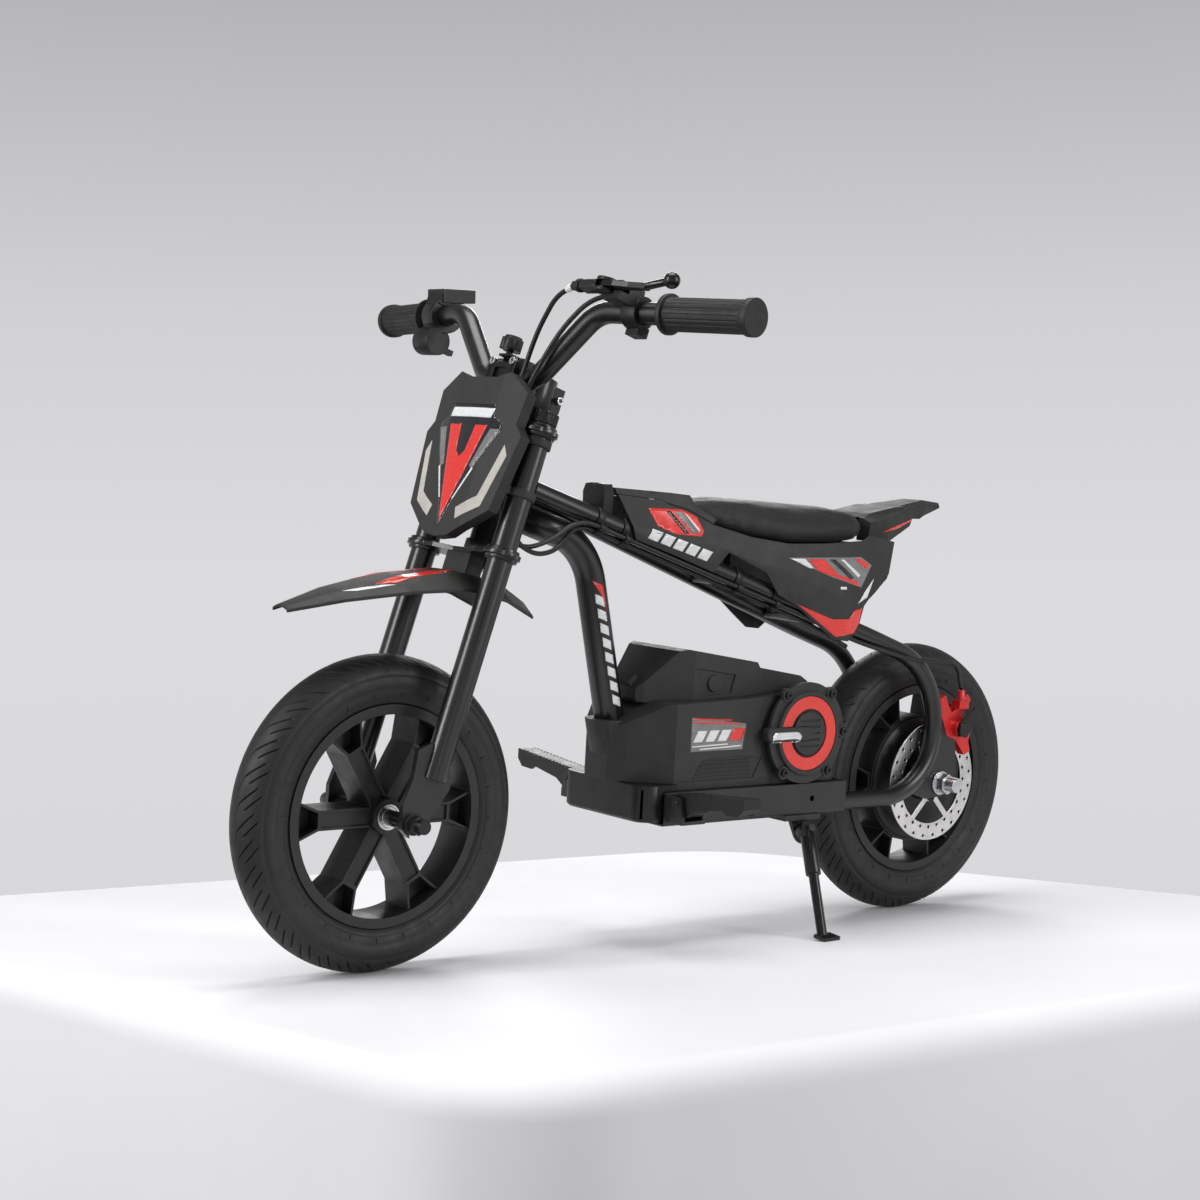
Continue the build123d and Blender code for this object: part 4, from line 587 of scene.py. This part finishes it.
def decal(name, outline, onto, place, towards, material, body, lift=0.2, grid=3.0):
    """Sticker: fills an outline with a fine mesh and lays it on the surface beneath."""
    key = tuple(onto)
    if key not in TREES:
        TREES[key] = target_tree(onto)
    tree = TREES[key]
    points = []
    for (ax, ay), (bx, by) in zip(outline, outline[1:] + outline[:1]):
        steps = max(1, int(math.hypot(bx - ax, by - ay) / grid))
        for k in range(steps):
            points.append(Vector((ax + (bx - ax) * k / steps, ay + (by - ay) * k / steps)))
    edge_count = len(points)
    xs = [p.x for p in points]
    ys = [p.y for p in points]
    x = min(xs) + grid * 0.5
    while x < max(xs):
        y = min(ys) + grid * 0.5
        while y < max(ys):
            if inside((x, y), outline):
                points.append(Vector((x, y)))
            y += grid
        x += grid
    edges = [(i, (i + 1) % edge_count) for i in range(edge_count)]
    flat, _, tris, _, _, _ = geometry.delaunay_2d_cdt(points, edges, [], 1, 1e-5)
    direction = towards.normalized()
    verts = []
    missed = set()
    for number, p in enumerate(flat):
        start = place(p.x, p.y, RAY_START)
        hit, _, _, _ = tree.ray_cast(start, direction)
        if hit is None:
            missed.add(number)
            hit = start
        verts.append(hit - direction * lift * MM)
    tris = [t for t in tris if not missed.intersection(t) and steady([verts[i] for i in t])]
    count = len(verts)
    under = [v + direction * lift * 0.8 * MM for v in verts]
    faces = []
    for tri in tris:
        a, b, c = (verts[i] for i in tri)
        order = tri if (b - a).cross(c - a).dot(direction) < 0 else tri[::-1]
        faces.append(tuple(order))
        faces.append(tuple(count + i for i in reversed(order)))
    loose = {}
    for tri in [f for f in faces if f[0] < count]:
        for a, b in zip(tri, tri[1:] + tri[:1]):
            loose[(a, b)] = loose.get((a, b), 0) + 1
    for (a, b) in list(loose):
        if (b, a) not in loose:
            faces.append((b, a, count + a, count + b))
    used = sorted({i for face in faces for i in face})
    renumbered = {old: new for new, old in enumerate(used)}
    both = verts + under
    kept = [both[i] for i in used]
    piece(name, kept, [[renumbered[i] for i in f] for f in faces], material, body)


def left_place(x, z, out):
    """Point out to the left of a side view's x and z."""
    return bike(x, out, z)


def right_place(x, z, out):
    """Point out to the right of a side view's x and z."""
    return bike(x, -out, z)


def plate_place(v, s, out):
    """Point ahead of the number plate."""
    return steer(out, v, s)


def top_place(x, y, out):
    """Point above the front mudguard."""
    return bike(x, y, 300.0 + out)


LEFTWARD = TURN @ Vector((0, 1, 0))
DOWN = TURN @ Vector((0, 0, -1))
BACKWARD = TURN @ Vector((-math.cos(RAKE), 0, -math.sin(RAKE)))

PLATE_DECALS = [
    ("plate_shield", BLACK, 0.15, [(-50, 124), (-40, 128), (-34, 142), (34, 142), (40, 128), (50, 124),
                                   (52, 116), (20, 60), (0, 12), (-20, 60), (-52, 116)]),
    ("plate_bar", WHITE, 0.3, [(-36, 128), (-33, 138), (36, 138), (33, 128)]),
    ("plate_chevron", RED, 0.3, [(-31, 120), (-12, 120), (-7, 92), (0, 86), (7, 92), (12, 120), (31, 120),
                                 (16, 70), (0, 18), (-16, 70)]),
    ("plate_wing_left", GREY, 0.3, [(50, 117), (37, 117), (22, 78), (26, 74)]),
    ("plate_wing_right", GREY, 0.3, [(-50, 117), (-37, 117), (-22, 78), (-26, 74)]),
    # plate_glint_left and plate_glint_right are painted highlights: thin white slashes beside the chevron.
    ("plate_glint_left", WHITE, 0.45, [(29, 74), (27, 76), (10, 42), (12, 42)]),
    ("plate_glint_right", WHITE, 0.45, [(-29, 74), (-27, 76), (-10, 42), (-12, 42)]),
]
for name, material, lift, outline in PLATE_DECALS:
    decal(name, outline, ["number_plate"], plate_place, BACKWARD, material, "steering", lift)


def slanted(x0, z0, x1, z1, count, height, lean, share=0.62):
    """Outlines of a row of slanted bars between two points."""
    bars = []
    for i in range(count):
        a = i / count
        b = a + share / count
        ax, az = x0 + (x1 - x0) * a, z0 + (z1 - z0) * a
        bx, bz = x0 + (x1 - x0) * b, z0 + (z1 - z0) * b
        bars.append([(ax, az), (bx, bz), (bx + lean[0], bz + height + lean[1]),
                     (ax + lean[0], az + height + lean[1])])
    return bars


SIDE_DECALS = [
    ("cowl_flash", RED, 0.25, [(71, 469), (30, 469), (12, 462), (4, 447), (8, 441), (43, 443), (64, 451)]),
    ("cowl_bar_a", BLACK, 0.4, [(50, 467), (44, 467), (24, 444), (30, 444)]),
    ("cowl_bar_b", GREY, 0.4, [(40, 467), (30, 467), (11, 445), (19, 444)]),
    ("cowl_bar_c", WHITE, 0.55, [(27, 465), (24, 464), (9, 448), (11, 446)]),
    ("panel_field", GREY, 0.25, [(-106, 421), (-217, 423), (-235, 414), (-214, 389), (-170, 400)]),
    ("panel_flash", RED, 0.4, [(-134, 420), (-158, 420), (-178, 403), (-208, 396), (-212, 390), (-170, 401),
                               (-148, 407)]),
    ("panel_corner", RED, 0.4, [(-204, 421), (-216, 421), (-232, 414), (-226, 409)]),
    ("panel_bar_a", BLACK, 0.55, [(-166, 420), (-174, 420), (-203, 400), (-196, 398)]),
    ("panel_bar_b", WHITE, 0.55, [(-182, 420), (-187, 420), (-214, 403), (-210, 400)]),
    ("panel_bar_c", WHITE, 0.4, [(-110, 420), (-130, 420), (-142, 410), (-136, 410)]),
    ("panel_tick", WHITE, 0.25, [(-180, 390), (-189, 390), (-189, 387), (-180, 387)]),
    ("lobe_flash", RED, 0.25, [(-122, 370), (-170, 354), (-194, 354), (-204, 364), (-216, 366), (-213, 350),
                               (-205, 338), (-177, 334)]),
    ("lobe_slash", WHITE, 0.25, [(-238, 399), (-224, 378), (-208, 371), (-220, 384)]),
]
TAIL_DECALS = [
    ("tail_flash", RED, 0.25, [(-272, 450), (-284, 454), (-336, 466), (-333, 463), (-302, 454)]),
]
HOUSING_DECALS = [
    ("side_field", GREY, 0.15, [(23, 250), (-56, 241), (-52, 213), (23, 213)]),
    ("side_scratch_a", RED, 0.3, [(21, 249), (-35, 246), (-35, 244.5), (21, 247)]),
    ("side_scratch_b", RED, 0.3, [(21, 245), (-48, 241.5), (-48, 240), (21, 243.5)]),
    ("side_line_a", WHITE, 0.3, [(21, 219), (-30, 220.4), (-30, 219), (21, 217.6)]),
    ("side_line_b", WHITE, 0.3, [(10, 216), (-50, 217.8), (-50, 216.4), (10, 214.6)]),
    ("side_bar_red", RED, 0.35, [(-37, 236), (-55, 236), (-49, 223), (-31, 223)]),
]
for k, bar in enumerate(slanted(20, 223, -32, 223, 3, 12, (-7, 0), 0.74)):
    HOUSING_DECALS.append(("side_bar_%d" % k, WHITE, 0.35, bar))
COWL_BARS = [("strip_bar_%d" % k, WHITE, 0.3, bar)
             for k, bar in enumerate(slanted(78, 438, -3, 414, 5, 10, (-7, 0), 0.8))]
TUBE_DECALS = [
    ("tube_cap", RED, 0.25, [(127, 391), (113, 386), (105, 358), (113, 374)]),
]
for k in range(8):
    low = 377 - 15.2 * k
    cx = 118 - 4.25 * k
    TUBE_DECALS.append(("tube_bar_%d" % k, WHITE, 0.25,
                        [(cx + 4, low), (cx - 7, low - 4), (cx - 9, low - 14), (cx + 2, low - 10)]))


def lay_sides(items, left_on, right_on, body):
    """Lays decals on the left side and mirrored ones on the right."""
    for name, material, lift, outline in items:
        decal(name + "_left", outline, left_on, left_place, -LEFTWARD, material, body, lift)
        if right_on:
            decal(name + "_right", outline, right_on, right_place, LEFTWARD, material, body, lift)


lay_sides(SIDE_DECALS + COWL_BARS, ["fairing_left", "tank_cowl"], ["fairing_right", "tank_cowl"], "frame")
lay_sides(TAIL_DECALS, ["tail_cowl"], ["tail_cowl"], "frame")
lay_sides(HOUSING_DECALS, ["body_shell"], ["body_shell"], "frame")
lay_sides(TUBE_DECALS, ["down_tube"], ["down_tube"], "frame")
POINTER = [(-84, 219.5), (-116, 219.5), (-121, 221.5), (-124, 226), (-121, 230), (-116, 232), (-84, 232),
           (-81, 229), (-80, 226), (-81, 222.5)]
lay_sides([("pointer", SILVER, 0.3, POINTER)], ["engine_covers"], ["engine_covers"], "frame")

GUARD_DECALS = [
    ("guard_leaf", RED, 0.25, [(404, 24), (386, 18.5), (369, 15), (330, 9), (300, 13), (316, 22), (350, 28),
                               (380, 30.5)]),
    # guard_glint is a painted highlight: a white sticker laid where light glints off the mudguard ridge
    # beside the red leaf, not print.
    ("guard_glint", WHITE, 0.25, [(438, 20), (420, 22.5), (394, 28), (384, 31.5), (424, 25)]),
]
for name, material, lift, outline in GUARD_DECALS:
    for side, sign in (("left", 1), ("right", -1)):
        shape = [(x, y * sign) for x, y in outline]
        decal(name + "_" + side, shape, ["mudguard"], top_place, DOWN, material, "steering",
              lift)


# ---------------------------------------------------------------- cables that cross the steering joint
CAP_REACH = 0.0027      # just over a cable's radius
LONGEST_EDGE = 0.007    # edges longer than this are split


def bending_cable(name, front, rear, joint_end, rear_end):
    """One continuous cable made of its two halves, joined across the steering joint."""
    mesh = bmesh.new()
    mesh.from_mesh(NODES[front].data)
    mesh.from_mesh(NODES[rear].data)
    bmesh.ops.remove_doubles(mesh, verts=mesh.verts, dist=WELD)
    axis = (steer(0, 0, 1) - steer(0, 0, 0)).normalized()
    ends = (steer(*joint_end), steer(*rear_end))
    caps = [f for f in mesh.faces
            if min((f.calc_center_median() - end).length for end in ends) < CAP_REACH
            and abs(f.normal.dot(axis)) > 0.8]
    bmesh.ops.delete(mesh, geom=caps, context="FACES")
    bmesh.ops.bridge_loops(mesh, edges=[e for e in mesh.edges if e.is_boundary])
    bmesh.ops.recalc_face_normals(mesh, faces=mesh.faces)
    for _ in range(4):
        long_edges = [e for e in mesh.edges if e.calc_length() > LONGEST_EDGE]
        if long_edges:
            bmesh.ops.subdivide_edges(mesh, edges=long_edges, cuts=1)
    data = bpy.data.meshes.new(name)
    mesh.to_mesh(data)
    mesh.free()
    data.materials.append(M["cable_jacket"])
    for poly in data.polygons:
        poly.use_smooth = True
    obj = bpy.data.objects.new(name, data)
    SCENE.collection.objects.link(obj)
    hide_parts(front, rear)
    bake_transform(obj)


bending_cable("brake_cable_run", "brake_cable_front", "brake_cable_rear", (30, 34, 66), (30, 34, 64.5))
bending_cable("switch_wire_run", "switch_wire_front", "switch_wire_rear", (19, 43, 66), (19, 43, 64.5))


def sleeve(name, start, towards, profile, material, body, sides=28):
    """Turned sleeve round a line: profile gives (distance along it, radius) in millimetres."""
    axis = (towards - start).normalized()
    across = axis.orthogonal().normalized()
    third = axis.cross(across)
    verts = []
    for along, radius in profile:
        for k in range(sides):
            a = 2 * math.pi * k / sides
            verts.append(start + (axis * along + (across * math.cos(a) + third * math.sin(a)) * radius) * MM)
    faces = []
    rows = len(profile)
    for j in range(rows):
        m = (j + 1) % rows
        for k in range(sides):
            n = (k + 1) % sides
            faces.append((j * sides + k, j * sides + n, m * sides + n, m * sides + k))
    piece(name, verts, faces, material, body)


FERRULE = [(2.0, 2.55), (2.0, 3.2), (2.6, 3.6), (7.6, 3.6), (8.4, 3.2), (10.6, 3.0), (11.0, 2.55)]
sleeve("cable_ferrule", steer(69, 103.8, 266), steer(67, 78, 256), FERRULE, WHITE, "steering")


# ---------------------------------------------------------------- studio
def table():
    """Pale table under the bike, with rounded edges and corners."""
    corners = [(0.58, 0.44), (0.66, -0.86), (-0.62, -0.66), (-0.80, 0.54)]
    ring = []
    for i, (x, y) in enumerate(corners):
        here = Vector((x, y))
        before = (Vector(corners[i - 1]) - here).normalized()
        after = (Vector(corners[(i + 1) % 4]) - here).normalized()
        for k in range(9):
            t = k / 8
            a = here + before * 0.14
            b = here + after * 0.14
            ring.append(a * (1 - t) ** 2 + here * 2 * t * (1 - t) + b * t * t)
    middle = sum(ring, Vector((0, 0))) / len(ring)
    verts = []
    faces = []
    turns = [math.radians(15 * i) for i in range(1, 7)]
    rounded = [(0.035 * math.sin(a), -0.035 * (1 - math.cos(a))) for a in turns]
    levels = [(0.0, 0.0)] + rounded + [(0.04, -1.2)]
    for grow, z in levels:
        for p in ring:
            out = (p - middle).normalized()
            verts.append((p.x + out.x * grow, p.y + out.y * grow, z))
    n = len(ring)
    for k in range(len(levels) - 1):
        for i in range(n):
            j = (i + 1) % n
            faces.append((k * n + i, (k + 1) * n + i, (k + 1) * n + j, k * n + j))
    faces.append(tuple(range(n)))
    mesh = bpy.data.meshes.new("table")
    mesh.from_pydata(verts, [], faces)
    for poly in mesh.polygons:
        poly.use_smooth = True
    mesh.polygons[len(faces) - 1].use_smooth = False
    s = Shader("table_cover")
    s.colour(s.ramp(s.noise(3.0, 3.0), [(0.3, (0.88, 0.88, 0.9)), (0.7, (0.93, 0.93, 0.95))]))
    s.rough(s.span(s.noise(40.0, 3.0), 0.6, 0.75))
    s.bump(s.noise(2.2, 2.0), 0.01, 0.3)
    mesh.materials.append(s.mat)
    obj = bpy.data.objects.new("table", mesh)
    SCENE.collection.objects.link(obj)


def area(name, at, to, size, power, colour=(1, 1, 1)):
    """Soft box light."""
    data = bpy.data.lights.new(name, "AREA")
    data.shape = "RECTANGLE"
    data.size, data.size_y = size
    data.energy = power
    data.color = colour
    obj = bpy.data.objects.new(name, data)
    obj.location = at
    obj.rotation_euler = (Vector(to) - Vector(at)).to_track_quat("-Z", "Y").to_euler()
    SCENE.collection.objects.link(obj)


def studio():
    """Soft boxes and a plain pale backdrop."""
    area("top_box", (0.1, 0.1, 2.3), (0, -0.05, 0.2), (1.5, 1.1), 30)
    area("left_box", (2.3, -0.3, 1.3), (0, 0, 0.35), (0.5, 1.7), 34)
    area("right_box", (-0.9, 2.6, 1.2), (0, 0, 0.35), (0.6, 1.7), 32)
    area("back_box", (-1.6, -2.0, 1.6), (0, 0, 0.4), (1.0, 1.0), 22)
    world = bpy.data.worlds.new("backdrop")
    SCENE.world = world
    world.use_nodes = True
    tree = world.node_tree
    coord = tree.nodes.new("ShaderNodeTexCoord")
    split = tree.nodes.new("ShaderNodeSeparateXYZ")
    tree.links.new(coord.outputs["Generated"], split.inputs[0])
    ramp = tree.nodes.new("ShaderNodeValToRGB")
    half = tree.nodes.new("ShaderNodeMapRange")
    half.inputs["From Min"].default_value = -1.0
    half.inputs["From Max"].default_value = 1.0
    tree.links.new(split.outputs["Z"], half.inputs["Value"])
    elements = ramp.color_ramp.elements
    stops = [(0.0, 0.05), (0.3, 0.10), (0.37, 0.66), (0.5, 0.72), (0.56, 0.64), (0.64, 0.42), (0.8, 0.14),
             (1.0, 0.10)]
    while len(elements) < len(stops):
        elements.new(0.5)
    for element, (at, level) in zip(elements, stops):
        element.position = at
        element.color = (level, level * 0.985, level * 1.015, 1)
    tree.links.new(half.outputs["Result"], ramp.inputs["Fac"])
    tree.links.new(ramp.outputs["Color"], tree.nodes["Background"].inputs["Color"])
    tree.nodes["Background"].inputs["Strength"].default_value = 1.0


table()
studio()
